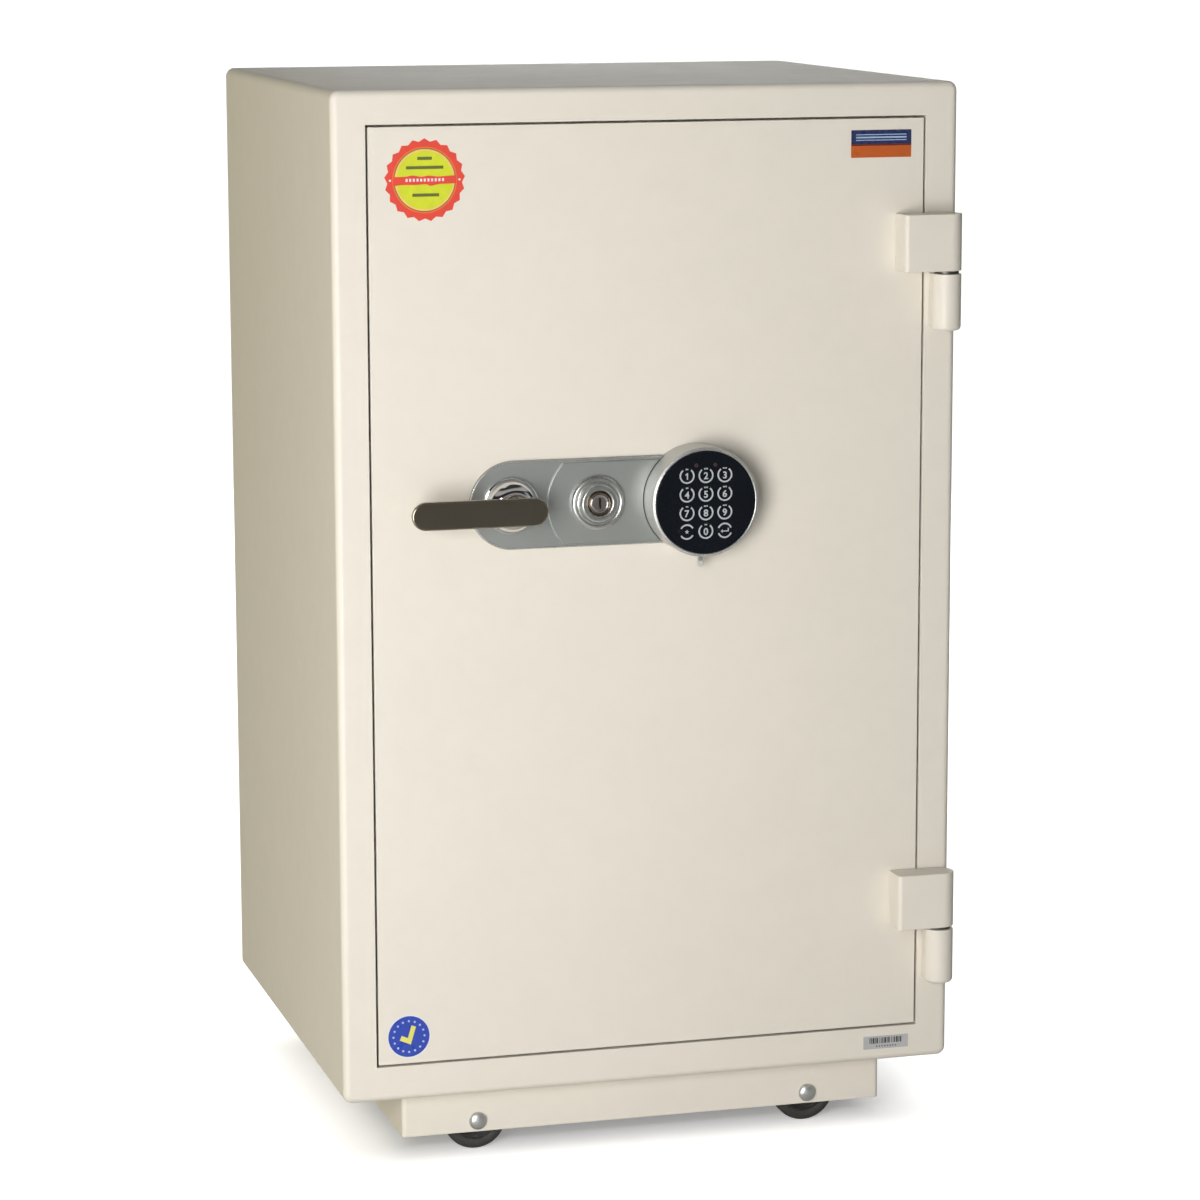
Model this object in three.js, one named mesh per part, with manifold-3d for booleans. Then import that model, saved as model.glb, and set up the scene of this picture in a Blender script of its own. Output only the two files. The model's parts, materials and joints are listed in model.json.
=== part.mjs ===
// Fire-resistant cabinet safe on a wheeled plinth, with one outside-hinged door.
// The door carries a turning lever, a key lock and a round electronic keypad.
// Millimetres, +X to the right, +Y to the back, +Z up. The wheels stand on z = 0 and the
// origin is the middle of the footprint, the lever included.

import * as THREE from 'three';
import { mergeVertices } from 'three/addons/utils/BufferGeometryUtils.js';
import Module from 'manifold-3d';

const wasm = await Module();
wasm.setup();

// ---------------------------------------------------------------- driving dimensions

const GAP = 0.3; // left between pieces that touch

const BODY = { width: 550, depth: 475, bottom: 59, top: 925, sheet: 3, edge: 6, corner: 8 };
const LEVER_REACH = 45; // from the door's face to the lever's front
const FRONT_Y = (LEVER_REACH - BODY.depth) / 2; // cabinet and door faces are flush here
const BODY_X = BODY.width / 2;

// Door opening, stepped once. Depths run back from the front face.
const DOOR = { halfWidth: 243.6, bottom: 92.1, top: 893.9, sheet: 3, returnInset: 5.6 };
const REVEAL = 2.3;
const RECESS_DEPTH = 34;
const THROAT = { halfWidth: 205, bottom: 131, top: 855 };
const LIP_BACK = 62;
const JAMB_SHEET = 3;
const ROOM = { halfWidth: 222, bottom: 112, top: 872, back: 420, sheet: 2 };

// Door build-up behind its face.
const PAN_BACK = 28;
const FLANGE_BACK = 30.3;
const TONGUE = { halfWidth: 192, bottom: 136, top: 850, sheet: 2 };
const FLOOR_FRONT = 54;
const FLOOR_BACK = 56;
const TONGUE_BACK = 85;
const COVER = { front: 85.3, back: 87.3 };
const SEAL = { inner: 11, outer: 25, front: 30.6, back: 33.7 };

// Shelves and the ledges that carry them.
const SHELF_Z = [365, 618];
const SHELF = { front: 100, back: 414, sheet: 2, lip: 14, clear: 0.6 };
const LEDGE = { reach: 10, height: 5, front: 104, back: 408 };

// Hinges: a leaf on the door over a knuckle on the cabinet, with one pin each.
const HINGE = { x: 261, depth: -14, radius: 12.7, pin: 6, collar: 10.6, leafLeft: 219 };
const HINGE_Z = [184, 764]; // underside of each leaf
const LEAF_HEIGHT = 49;
const KNUCKLE_HEIGHT = 49;
const COLLAR_HEIGHT = 2.4;

// Lock furniture, all on one level line.
const LOCK_Z = 574;
const HANDLE_X = -125;
const KEY_X = -49.5;
const PAD_X = 39;
const PLATE = { radius: 38, base: 3.3, raised: 4.8, rim: 3, arc: 50, arcX: -43.5 };
const LEVER = { length: 117.1, width: 24, thick: 4.8, overhang: 22.3, neck: 9.5 };
const SPINDLE = { radius: 6, hole: 6.5 };
const PLUG = { radius: 8.2, bore: 8.6, barrel: 10.25, back: 20, tail: 4, slot: 2.2 };

// Keypad: housing, black face and a grid of twelve keys, three across.
const PAD = { radius: 47.2, faceRadius: 46.1, height: 32, wall: 2.6, disc: 44.1 };
const KEY = { radius: 7.2, hole: 7.5, pitchX: 16.8, pitchZ: 16, drop: 0.8 };
const KEY_NAMES = ['1', '2', '3', '4', '5', '6', '7', '8', '9', 'star', '0', 'enter'];
const TRAY = { halfWidth: 16, front: -25, back: -6, bottom: -45, top: 12, wall: 1.6 };
const CABLE = { z: LOCK_Z + 38, radius: 3, hole: 5 };

// Boltwork in the door's rear space. It moves towards -X by BOLT_THROW.
const BOLT_THROW = 22;
const BOLT = { radius: 9, hole: 9.4, depth: 74, tip: -191.5, root: -130 };
const BOLT_Z = [250, 493, 736];
const BAR = { left: -150, right: -144, front: 60, back: 83, bottom: 215, top: 771 };
const ARM = { front: 65, back: 69, right: 50, low: LOCK_Z + 5, high: LOCK_Z + 29 };
const CRANK = { front: 57.5, back: 63, pin: 4, play: 0.8 };
const CRANK_REACH = BOLT_THROW / 2 / Math.sin(Math.PI / 4);
const STUD = { radius: 3, rise: 12, front: 59 };
const CAM = { front: 58.5, back: 63.5, radius: 12.8, halfWidth: 5.5 };
const LATCH_X = 30;
const LOCK_CASE = { left: 0, right: 60, bottom: 604, top: 690, front: 57, back: 82 };
const LATCH = { halfWidth: 6, front: 58.8, back: 63.8, tip: 592, top: 640 };
const DEAD_BOLT = { radius: 7, depth: 76, tip: 213, root: 168, collar: 11 };
const DEAD_BOLT_Z = [330, 656];

// Plinth with four wheels that turn on bolts laid front to back.
const PLINTH = { inset: 56, setBack: 23, bottom: 18, sheet: 3, corner: 4, wallDepth: 53 };
const WHEEL = { x: 151.5, radius: 28, width: 20, bore: 4.4, start: 29.5 };
const AXLE = { radius: 4, head: 8, headHeight: 4.6, nut: 7, nutHeight: 4.5 };

const ROUND = 24; // sides of a small round piece

// ---------------------------------------------------------------- finishes

const finish = (color, roughness, metalness) =>
  new THREE.MeshStandardMaterial({ color, roughness, metalness });

const IVORY = finish(0xe6dfd2, 0.45, 0.0);
const LINER_PAINT = finish(0xd5d0c6, 0.55, 0.0);
const STEEL = finish(0x9a9a98, 0.4, 0.9);
const ZINC = finish(0xb4b8b8, 0.35, 0.9);
const SILVER = finish(0x9aa29e, 0.35, 0.6);
const CHROME = finish(0xcfd2d4, 0.1, 1.0);
const FILLING = finish(0xb9b4a8, 0.95, 0.0);
const BLACK_RUBBER = finish(0x2a2a28, 0.8, 0.0);
const BLACK_GLOSS = finish(0x0a0c10, 0.12, 0.0);
const BLACK_PLASTIC = finish(0x1c1c1e, 0.5, 0.0);
const BOARD_GREEN = finish(0x2e5a38, 0.6, 0.0);

// ---------------------------------------------------------------- shape helpers

/** Depth behind the front face as a Y coordinate. */
const at = (depth) => FRONT_Y + depth;

/** A closed three.js geometry as a solid that can be joined and cut. */
function toSolid(geometry) {
  const bare = geometry.clone();
  bare.deleteAttribute('normal');
  bare.deleteAttribute('uv');
  const merged = mergeVertices(bare, 1e-4);
  return new wasm.Manifold(new wasm.Mesh({
    numProp: 3,
    vertProperties: Float32Array.from(merged.attributes.position.array),
    triVerts: Uint32Array.from(merged.index.array),
  }));
}

/** A solid back as a geometry. */
function toGeometry(solid) {
  const { vertProperties, triVerts } = solid.getMesh();
  const geometry = new THREE.BufferGeometry();
  geometry.setAttribute('position', new THREE.BufferAttribute(vertProperties, 3));
  geometry.setIndex(new THREE.BufferAttribute(triVerts, 1));
  geometry.computeVertexNormals();
  return geometry;
}

/** A box between low and high X, depth and Z. */
function block(x0, x1, d0, d1, z0, z1) {
  const geometry = new THREE.BoxGeometry(x1 - x0, d1 - d0, z1 - z0);
  geometry.translate((x0 + x1) / 2, at((d0 + d1) / 2), (z0 + z1) / 2);
  return toSolid(geometry);
}

/** A box that is symmetric about x = 0. */
const wideBlock = (halfWidth, d0, d1, z0, z1) => block(-halfWidth, halfWidth, d0, d1, z0, z1);

/** A rectangular ring, symmetric about x = 0, as [halfWidth, bottom, top] outside and inside. */
function ring(outside, inside, d0, d1) {
  const whole = wideBlock(outside[0], d0, d1, outside[1], outside[2]);
  const hole = wideBlock(inside[0], d0 - 1, d1 + 1, inside[1], inside[2]);
  return whole.subtract(hole);
}

/** A shape drawn in X and Z, given thickness from depth d0 back to d1. */
function plate(shape, d0, d1, curveSegments = 8) {
  const geometry = new THREE.ExtrudeGeometry(shape, {
    depth: d1 - d0,
    bevelEnabled: false,
    curveSegments,
  });
  geometry.rotateX(Math.PI / 2);
  geometry.translate(0, at(d1), 0);
  return toSolid(geometry);
}

/** A shape drawn in X and depth, given height from z0 up to z1. */
function column(shape, z0, z1, curveSegments = 8) {
  const geometry = new THREE.ExtrudeGeometry(shape, {
    depth: z1 - z0,
    bevelEnabled: false,
    curveSegments,
  });
  geometry.translate(0, FRONT_Y, z0);
  return toSolid(geometry);
}

/** A profile of [radius, depth] points, turned about a front-to-back line through x, z. */
function turned(x, z, profile, sides = ROUND) {
  const points = profile.map(([radius, depth]) => new THREE.Vector2(radius, depth));
  points.push(points[0].clone());
  const geometry = new THREE.LatheGeometry(points, sides);
  geometry.translate(x, FRONT_Y, z);
  return orient(geometry);
}

/** A profile of [radius, z] points, turned about an upright line through x and depth. */
function turnedUp(x, depth, profile, sides = ROUND) {
  const points = profile.map(([radius, z]) => new THREE.Vector2(radius, z));
  points.push(points[0].clone());
  const geometry = new THREE.LatheGeometry(points, sides);
  geometry.rotateX(Math.PI / 2);
  geometry.translate(x, at(depth), 0);
  return orient(geometry);
}

/** A turned geometry as a solid, with its faces pointing out. */
function orient(geometry) {
  const solid = toSolid(geometry);
  if (solid.volume() > 0) return solid;
  const index = geometry.index.array;
  for (let i = 0; i < index.length; i += 3) {
    [index[i], index[i + 1]] = [index[i + 1], index[i]];
  }
  return toSolid(geometry);
}

/** A round rod along X, Y or Z between two coordinates. Y is given as depth. */
function rod(axis, radius, from, to, [a, b], sides = ROUND) {
  const geometry = new THREE.CylinderGeometry(radius, radius, to - from, sides);
  const middle = (from + to) / 2;
  if (axis === 'x') geometry.rotateZ(-Math.PI / 2).translate(middle, at(a), b);
  if (axis === 'y') geometry.translate(a, at(middle), b);
  if (axis === 'z') geometry.rotateX(Math.PI / 2).translate(a, at(b), middle);
  return toSolid(geometry);
}

/** A rounded rectangle in a plane. */
function roundedRect(x0, x1, y0, y1, radius) {
  const shape = new THREE.Shape();
  shape.moveTo(x0 + radius, y0);
  shape.absarc(x1 - radius, y0 + radius, radius, -Math.PI / 2, 0);
  shape.absarc(x1 - radius, y1 - radius, radius, 0, Math.PI / 2);
  shape.absarc(x0 + radius, y1 - radius, radius, Math.PI / 2, Math.PI);
  shape.absarc(x0 + radius, y0 + radius, radius, Math.PI, Math.PI * 1.5);
  return shape;
}

/** A bar with full-round ends, its axis level in the plane. */
function stadium(x0, x1, y, radius) {
  const shape = new THREE.Shape();
  shape.absarc(x1, y, radius, -Math.PI / 2, Math.PI / 2);
  shape.absarc(x0, y, radius, Math.PI / 2, Math.PI * 1.5);
  return shape;
}

/** All the solids of a list joined into one. */
const join = (solids) => solids.reduce((whole, solid) => whole.add(solid));

/** A solid with each solid of a list cut out of it. */
const cut = (solid, tools) => tools.reduce((rest, tool) => rest.subtract(tool), solid);

// ---------------------------------------------------------------- cabinet

function outerShell() {
  const { width, depth, bottom, top, sheet, edge, corner } = BODY;
  const outline = roundedRect(
    -width / 2 + edge, width / 2 - edge, bottom + edge, top - edge, corner - edge + 1);
  const geometry = new THREE.ExtrudeGeometry(outline, {
    depth,
    bevelSize: edge,
    bevelThickness: edge,
    bevelSegments: 3,
    curveSegments: 3,
  });
  geometry.rotateX(Math.PI / 2);
  geometry.translate(0, at(depth + edge), 0);
  const opening = [DOOR.halfWidth + REVEAL, DOOR.bottom - REVEAL, DOOR.top + REVEAL];
  return cut(toSolid(geometry), [
    wideBlock(width, depth, depth + 50, bottom - 50, top + 50),
    wideBlock(width / 2 - sheet, sheet, depth + 1, bottom + sheet, top - sheet),
    wideBlock(opening[0], -1, sheet + 1, opening[1], opening[2]),
  ]);
}

function backPanel() {
  const clear = BODY.sheet + GAP;
  const outline = roundedRect(
    -BODY_X + clear, BODY_X - clear, BODY.bottom + clear, BODY.top - clear, 2);
  return plate(outline, BODY.depth - BODY.sheet, BODY.depth, 2);
}

/** The sheet-metal frame that lines the stepped door opening. */
function doorJamb() {
  const t = JAMB_SHEET;
  const mouth = [DOOR.halfWidth + REVEAL, DOOR.bottom - REVEAL, DOOR.top + REVEAL];
  const outer = [mouth[0] + t, mouth[1] - t, mouth[2] + t];
  const throat = [THROAT.halfWidth, THROAT.bottom, THROAT.top];
  const throatOuter = [throat[0] + t, throat[1] - t, throat[2] + t];
  const liner = [ROOM.halfWidth + ROOM.sheet, ROOM.bottom - ROOM.sheet, ROOM.top + ROOM.sheet];
  return join([
    ring(outer, mouth, BODY.sheet + GAP, RECESS_DEPTH + t),
    ring(outer, throat, RECESS_DEPTH, RECESS_DEPTH + t),
    ring(throatOuter, throat, RECESS_DEPTH, LIP_BACK),
    ring(liner, throat, LIP_BACK - t, LIP_BACK),
  ]);
}

function cabinetFilling() {
  const side = BODY.sheet + GAP;
  const jamb = REVEAL + JAMB_SHEET + GAP;
  const liner = ROOM.sheet + GAP;
  return cut(
    wideBlock(BODY_X - side, side, BODY.depth - side, BODY.bottom + side, BODY.top - side), [
      wideBlock(DOOR.halfWidth + jamb, 0, RECESS_DEPTH + JAMB_SHEET + GAP,
        DOOR.bottom - jamb, DOOR.top + jamb),
      wideBlock(ROOM.halfWidth + liner, 0, ROOM.back + liner, ROOM.bottom - liner, ROOM.top + liner),
    ]);
}

function innerLiner() {
  const { halfWidth, bottom, top, back, sheet } = ROOM;
  const front = LIP_BACK + GAP;
  const tray = cut(
    wideBlock(halfWidth + sheet, front, back + sheet, bottom - sheet, top + sheet),
    [wideBlock(halfWidth, front - 1, back, bottom, top)]);
  const ledges = SHELF_Z.flatMap((z) => [-1, 1].map((side) => {
    const wall = side * (halfWidth + sheet / 2);
    const tip = side * (halfWidth - LEDGE.reach);
    const [x0, x1] = [Math.min(wall, tip), Math.max(wall, tip)];
    return block(x0, x1, LEDGE.front, LEDGE.back, z - LEDGE.height - GAP, z - GAP);
  }));
  return join([tray, ...ledges]);
}

function shelf(z) {
  const halfWidth = ROOM.halfWidth - SHELF.clear;
  const { front, back, sheet, lip } = SHELF;
  const inner = ROOM.halfWidth - LEDGE.reach - 2;
  return join([
    wideBlock(halfWidth, front, back, z, z + sheet),
    wideBlock(inner, front, front + sheet, z - lip, z + sheet),
  ]);
}

function plinth() {
  const x = BODY_X - PLINTH.inset;
  const front = PLINTH.setBack;
  const back = BODY.depth - PLINTH.setBack;
  const { sheet, bottom, corner, wallDepth } = PLINTH;
  const top = BODY.bottom - GAP;
  const skirt = column(roundedRect(-x, x, front, back, corner), bottom, top, 3).subtract(
    column(roundedRect(-x + sheet, x - sheet, front + sheet, back - sheet, 1), bottom - 1, top + 1, 2));
  const walls = [wallDepth, BODY.depth - wallDepth - sheet].map((depth) =>
    wideBlock(x - sheet / 2, depth, depth + sheet, bottom + 4, top));
  const holes = [-1, 1].map((side) =>
    rod('y', AXLE.radius + GAP, 0, BODY.depth, [side * WHEEL.x, WHEEL.radius], 16));
  return cut(join([skirt, ...walls]), holes);
}

function knuckle(leafBottom) {
  const top = leafBottom - COLLAR_HEIGHT - GAP;
  const bottom = top - KNUCKLE_HEIGHT;
  const { x, depth, radius } = HINGE;
  const barrel = turnedUp(x, depth, [
    [0, bottom], [radius - 3, bottom], [radius - 0.9, bottom + 0.9], [radius, bottom + 3], [radius, top], [0, top],
  ]);
  const foot = block(x - radius + 1.5, x + radius - 2, depth, -GAP, bottom + 2, top);
  const bore = rod('z', HINGE.pin + GAP, top - 30, top + 1, [x, depth]);
  return barrel.add(foot).subtract(bore);
}

function hingePin(leafBottom) {
  const collarTop = leafBottom - GAP;
  const collarBottom = collarTop - COLLAR_HEIGHT + GAP;
  const { x, depth, pin, collar } = HINGE;
  return turnedUp(x, depth, [
    [0, collarBottom - 28], [pin, collarBottom - 28], [pin, collarBottom], [collar, collarBottom],
    [collar, collarTop], [pin, collarTop], [pin, leafBottom + 38], [0, leafBottom + 38],
  ], 16);
}

/** Bolt laid front to back: domed head outside, shank through the wheel, nut behind the wall. */
function axleBolt(side, rear) {
  const { radius, head, headHeight, nut, nutHeight } = AXLE;
  const seat = PLINTH.setBack - GAP;
  const end = PLINTH.wallDepth + PLINTH.sheet + GAP;
  const profile = [
    [0, seat - headHeight], [head * 0.45, seat - headHeight * 0.88], [head * 0.8, seat - headHeight * 0.55],
    [head, seat], [radius, seat], [radius, end], [nut, end], [nut, end + nutHeight],
    [0, end + nutHeight],
  ];
  const placed = rear ? profile.map(([r, d]) => [r, BODY.depth - d]).reverse() : profile;
  return turned(side * WHEEL.x, WHEEL.radius, placed, 16);
}

function wheel(side, rear) {
  const { radius, width, bore, start } = WHEEL;
  const profile = [
    [bore, 3], [9, 1.5], [21.5, 3.5], [22.5, 0], [radius - 3, 0], [radius, 3],
    [radius, width - 3], [radius - 3, width], [22.5, width], [21.5, width - 3.5],
    [9, width - 1.5], [bore, width - 3],
  ];
  const first = rear ? BODY.depth - start - width : start;
  return turned(side * WHEEL.x, radius, profile.map(([r, d]) => [r, first + d]), 24);
}

// ---------------------------------------------------------------- door

/** Passages that run front to back through the door for the spindle, key tail and cable. */
function doorPassages(d0, d1) {
  return [
    rod('y', SPINDLE.hole, d0, d1, [HANDLE_X, LOCK_Z]),
    rod('y', CABLE.hole, d0, d1, [PAD_X, CABLE.z], 16),
    rod('y', PLUG.tail + 1, d0, d1, [KEY_X, LOCK_Z], 16),
    rod('y', PLUG.barrel + GAP, d0, PLUG.back + GAP, [KEY_X, LOCK_Z]),
  ];
}

function doorSkin() {
  const { halfWidth, bottom, top, sheet, returnInset } = DOOR;
  const face = plate(roundedRect(-halfWidth, halfWidth, bottom, top, 2), 0, sheet, 2);
  const outer = [halfWidth - returnInset, bottom + returnInset, top - returnInset];
  const inner = [outer[0] - sheet, outer[1] + sheet, outer[2] - sheet];
  return cut(face.add(ring(outer, inner, sheet - 0.5, PAN_BACK)), doorPassages(-1, sheet + 1));
}

function doorFilling() {
  const inset = DOOR.returnInset + DOOR.sheet + GAP;
  const tongueInset = TONGUE.sheet + GAP;
  const pan = wideBlock(
    DOOR.halfWidth - inset, DOOR.sheet + GAP, PAN_BACK, DOOR.bottom + inset, DOOR.top - inset);
  const tongue = wideBlock(TONGUE.halfWidth - tongueInset, DOOR.sheet + GAP, FLOOR_FRONT - GAP,
    TONGUE.bottom + tongueInset, TONGUE.top - tongueInset);
  return cut(pan.add(tongue), doorPassages(0, FLOOR_BACK));
}

/** Back tray of the door: a flange, the tongue's walls and the floor that carries the boltwork. */
function doorLiner() {
  const { halfWidth, bottom, top, sheet } = TONGUE;
  const wall = [halfWidth, bottom, top];
  const inside = [halfWidth - sheet, bottom + sheet, top - sheet];
  const edge = DOOR.returnInset;
  const flange = [DOOR.halfWidth - edge, DOOR.bottom + edge, DOOR.top - edge];
  const tray = join([
    ring(flange, inside, PAN_BACK + GAP, FLANGE_BACK),
    ring(wall, inside, PAN_BACK + GAP, TONGUE_BACK),
    wideBlock(halfWidth - sheet / 2, FLOOR_FRONT, FLOOR_BACK, bottom + sheet / 2, top - sheet / 2),
  ]);
  const boltHoles = BOLT_Z.map((z) =>
    rod('x', BOLT.hole, -halfWidth - 5, -halfWidth + sheet + 5, [BOLT.depth, z]));
  const deadHoles = DEAD_BOLT_Z.map((z) =>
    rod('x', DEAD_BOLT.radius + GAP, halfWidth - sheet - 5, halfWidth + 5, [DEAD_BOLT.depth, z]));
  return cut(tray, [...boltHoles, ...deadHoles, ...doorPassages(FLOOR_FRONT - 5, FLOOR_BACK + 1)]);
}

function mechanismCover() {
  const { halfWidth, bottom, top } = TONGUE;
  return plate(roundedRect(-halfWidth, halfWidth, bottom, top, 4), COVER.front, COVER.back, 3);
}

function doorSeal() {
  const { inner, outer, front, back } = SEAL;
  const around = (offset) =>
    [THROAT.halfWidth + offset, THROAT.bottom - offset, THROAT.top + offset];
  return ring(around(outer), around(inner), front, back);
}

/** Leaf on the door's face, reaching over the frame to the pin, with a full-round end. */
function hingeLeaf(leafBottom) {
  const { x, depth, radius, pin, leafLeft } = HINGE;
  const nose = 6;
  const outline = new THREE.Shape();
  outline.moveTo(DOOR.halfWidth - 1, -GAP);
  outline.lineTo(leafLeft, -GAP);
  outline.absarc(leafLeft + nose, depth - radius + nose, nose, Math.PI, Math.PI * 1.5);
  outline.absarc(x, depth, radius, -Math.PI / 2, Math.PI / 2);
  outline.lineTo(DOOR.halfWidth - 1, depth + radius);
  const top = leafBottom + LEAF_HEIGHT;
  const bore = rod('z', pin + GAP, leafBottom - 1, leafBottom + 38.5, [x, depth]);
  return column(outline, leafBottom, top, 6).subtract(bore);
}

function deadBolt(z) {
  const { radius, depth, tip, root, collar } = DEAD_BOLT;
  const seat = TONGUE.halfWidth - TONGUE.sheet - GAP;
  return join([
    rod('x', radius, root, tip, [depth, z], 20),
    rod('x', collar, root, seat, [depth - 4, z], 6),
  ]).subtract(block(root - 1, seat + 1, COVER.front - 2, COVER.front + 20, z - 30, z + 30));
}

/** Stadium plate with a thin base and a thicker part to the right of a round step. */
function escutcheon() {
  const { radius, base, raised, rim, arc, arcX } = PLATE;
  const whole = plate(stadium(HANDLE_X + 2, PAD_X, LOCK_Z, radius), -base, -GAP, 10);
  const step = plate(stadium(HANDLE_X + 2, PAD_X, LOCK_Z, radius - rim), -raised, -base + 0.5, 10);
  const disc = rod('y', arc, -raised - 1, 0, [arcX, LOCK_Z], 40);
  const right = block(arcX, PAD_X, -raised - 1, 0, LOCK_Z - 60, LOCK_Z + 60);
  return cut(whole.add(step.intersect(disc.add(right))), doorPassages(-10, 5));
}

function handleRose() {
  const seat = -PLATE.base - GAP;
  const bore = LEVER.neck + 0.6;
  return turned(HANDLE_X, LOCK_Z, [
    [bore, seat], [24.5, seat], [24.5, seat - 2.5], [23.2, seat - 7], [20.2, seat - 12],
    [15.5, seat - 16], [bore + 1.5, seat - 18.5], [bore, seat - 18.5],
  ]);
}

function lockBezel() {
  const seat = -PLATE.raised - GAP;
  const bore = PLUG.barrel + GAP;
  return turned(KEY_X, LOCK_Z, [
    [bore, seat], [23.5, seat], [23.5, seat - 3], [22, seat - 4.6], [17.6, seat - 5.4],
    [16.4, seat - 8.2], [13.6, seat - 9], [bore, seat - 9],
  ]);
}

function keyCylinder() {
  const { barrel, bore, back } = PLUG;
  const front = -PLATE.raised - 10;
  return turned(KEY_X, LOCK_Z, [
    [bore, front], [barrel - 0.6, front], [barrel, front + 0.6], [barrel, back], [bore, back],
  ]);
}

function keypadHousing() {
  const { radius, faceRadius, height, wall } = PAD;
  const inner = radius - wall;
  const shell = turned(PAD_X, LOCK_Z, [
    [inner, -GAP], [radius, -GAP], [faceRadius, -height + 1], [faceRadius - 0.8, -height],
    [PAD.disc + GAP, -height], [PAD.disc + GAP, -height + 3], [40, -height + 3], [40, -height + 5],
    [inner - 1, -height + 5],
  ], 36);
  const plateSlot = plate(
    stadium(HANDLE_X + 2, PAD_X, LOCK_Z, PLATE.radius + GAP), -PLATE.raised - GAP, 1, 10);
  const { halfWidth, front, back } = TRAY;
  const traySlot = block(PAD_X - halfWidth - 0.6, PAD_X + halfWidth + 0.6, front - 0.6, back + 0.6,
    LOCK_Z - 60, LOCK_Z - 20);
  return cut(shell, [plateSlot, traySlot]);
}

/** Middle of a key in the grid, counted from the top left. */
function keyCentre(index) {
  const column = (index % 3) - 1;
  const row = Math.floor(index / 3) - 1.5;
  return [PAD_X + column * KEY.pitchX, LOCK_Z - KEY.drop - row * KEY.pitchZ];
}

function keypadFace() {
  const disc = rod('y', PAD.disc, -PAD.height + 0.3, -PAD.height + 2.7, [PAD_X, LOCK_Z], 36);
  const holes = KEY_NAMES.map((name, index) =>
    rod('y', KEY.hole, -PAD.height - 1, -PAD.height + 4, keyCentre(index), 14));
  return cut(disc, holes);
}

function keypadKey(index) {
  return rod('y', KEY.radius, -PAD.height - 0.1, -PAD.height + 1.8, keyCentre(index), 14);
}

function keypadBoard() {
  return rod('y', 39.6, -PAD.height + 3.2, -PAD.height + 4.8, [PAD_X, LOCK_Z]);
}

/** Tray for the batteries: open at the back, with a pull tab below. */
function batteryTray() {
  const { halfWidth, front, back, bottom, top, wall } = TRAY;
  const x0 = PAD_X - halfWidth;
  const x1 = PAD_X + halfWidth;
  const z0 = LOCK_Z + bottom;
  const z1 = LOCK_Z + top;
  const box = block(x0, x1, front, back, z0, z1).subtract(
    block(x0 + wall, x1 - wall, front + wall, back + 1, z0 + wall + 2, z1 - wall));
  const middle = (front + back) / 2;
  const stem = block(PAD_X - 2, PAD_X + 2, middle - 1.5, middle + 1.5, z0 - 9, z0 + 1);
  const tip = rod('y', 3, middle - 1.5, middle + 1.5, [PAD_X, z0 - 10], 16);
  return join([box, stem, tip]);
}

function battery() {
  const { halfWidth, front, back, bottom, wall } = TRAY;
  const inset = wall + 0.5;
  const low = LOCK_Z + bottom + wall + 2.5;
  return block(PAD_X - halfWidth + inset, PAD_X + halfWidth - inset, front + inset, back - 0.5,
    low, low + 48.5);
}

function lockCable() {
  return rod('y', CABLE.radius, -PAD.height + 5.1, LOCK_CASE.front - GAP, [PAD_X, CABLE.z], 10);
}

function lockCase() {
  const { left, right, bottom, top, front, back } = LOCK_CASE;
  const passage = block(LATCH_X - LATCH.halfWidth - 0.4, LATCH_X + LATCH.halfWidth + 0.4,
    LATCH.front - 0.4, LATCH.back + 0.4, bottom - 1, LATCH.top + 1);
  return cut(block(left, right, front, back, bottom, top), [passage]);
}

// ---------------------------------------------------------------- moving pieces of the lock

/** Flat lever with full-round ends, and the neck that takes the spindle. */
function handleLever() {
  const { length, width, thick, overhang, neck } = LEVER;
  const r = width / 2;
  const right = HANDLE_X + overhang - r;
  const left = HANDLE_X + overhang - length + r;
  const bar = plate(stadium(left, right, LOCK_Z, r), -LEVER_REACH, -LEVER_REACH + thick, 8);
  const stem = rod('y', neck, -LEVER_REACH + thick - 0.5, -PLATE.base - 14, [HANDLE_X, LOCK_Z]);
  const socket = rod('y', SPINDLE.radius + GAP, -LEVER_REACH + thick + 2, 0, [HANDLE_X, LOCK_Z]);
  return bar.add(stem).subtract(socket);
}

/** Spindle through the door with the crank that pushes the bolt bar. */
function handleSpindle() {
  const lever = -LEVER_REACH + LEVER.thick + 2 + GAP;
  const offset = CRANK_REACH * Math.sin(Math.PI / 4);
  const pin = [HANDLE_X + offset, LOCK_Z + offset];
  const web = new THREE.Shape();
  web.absarc(0, 0, 9, Math.PI / 2, Math.PI * 1.5);
  web.absarc(CRANK_REACH, 0, 6.5, -Math.PI / 2, Math.PI / 2);
  const arm = new THREE.ExtrudeGeometry(web, {
    depth: CRANK.back - CRANK.front,
    bevelEnabled: false,
    curveSegments: 6,
  });
  arm.rotateZ(Math.PI / 4);
  arm.rotateX(Math.PI / 2);
  arm.translate(HANDLE_X, at(CRANK.back), LOCK_Z);
  return join([
    rod('y', SPINDLE.radius, lever, CRANK.front + 1, [HANDLE_X, LOCK_Z]),
    toSolid(arm),
    rod('y', CRANK.pin, CRANK.back - 1, ARM.back + 1.5, pin, 16),
  ]);
}

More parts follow.
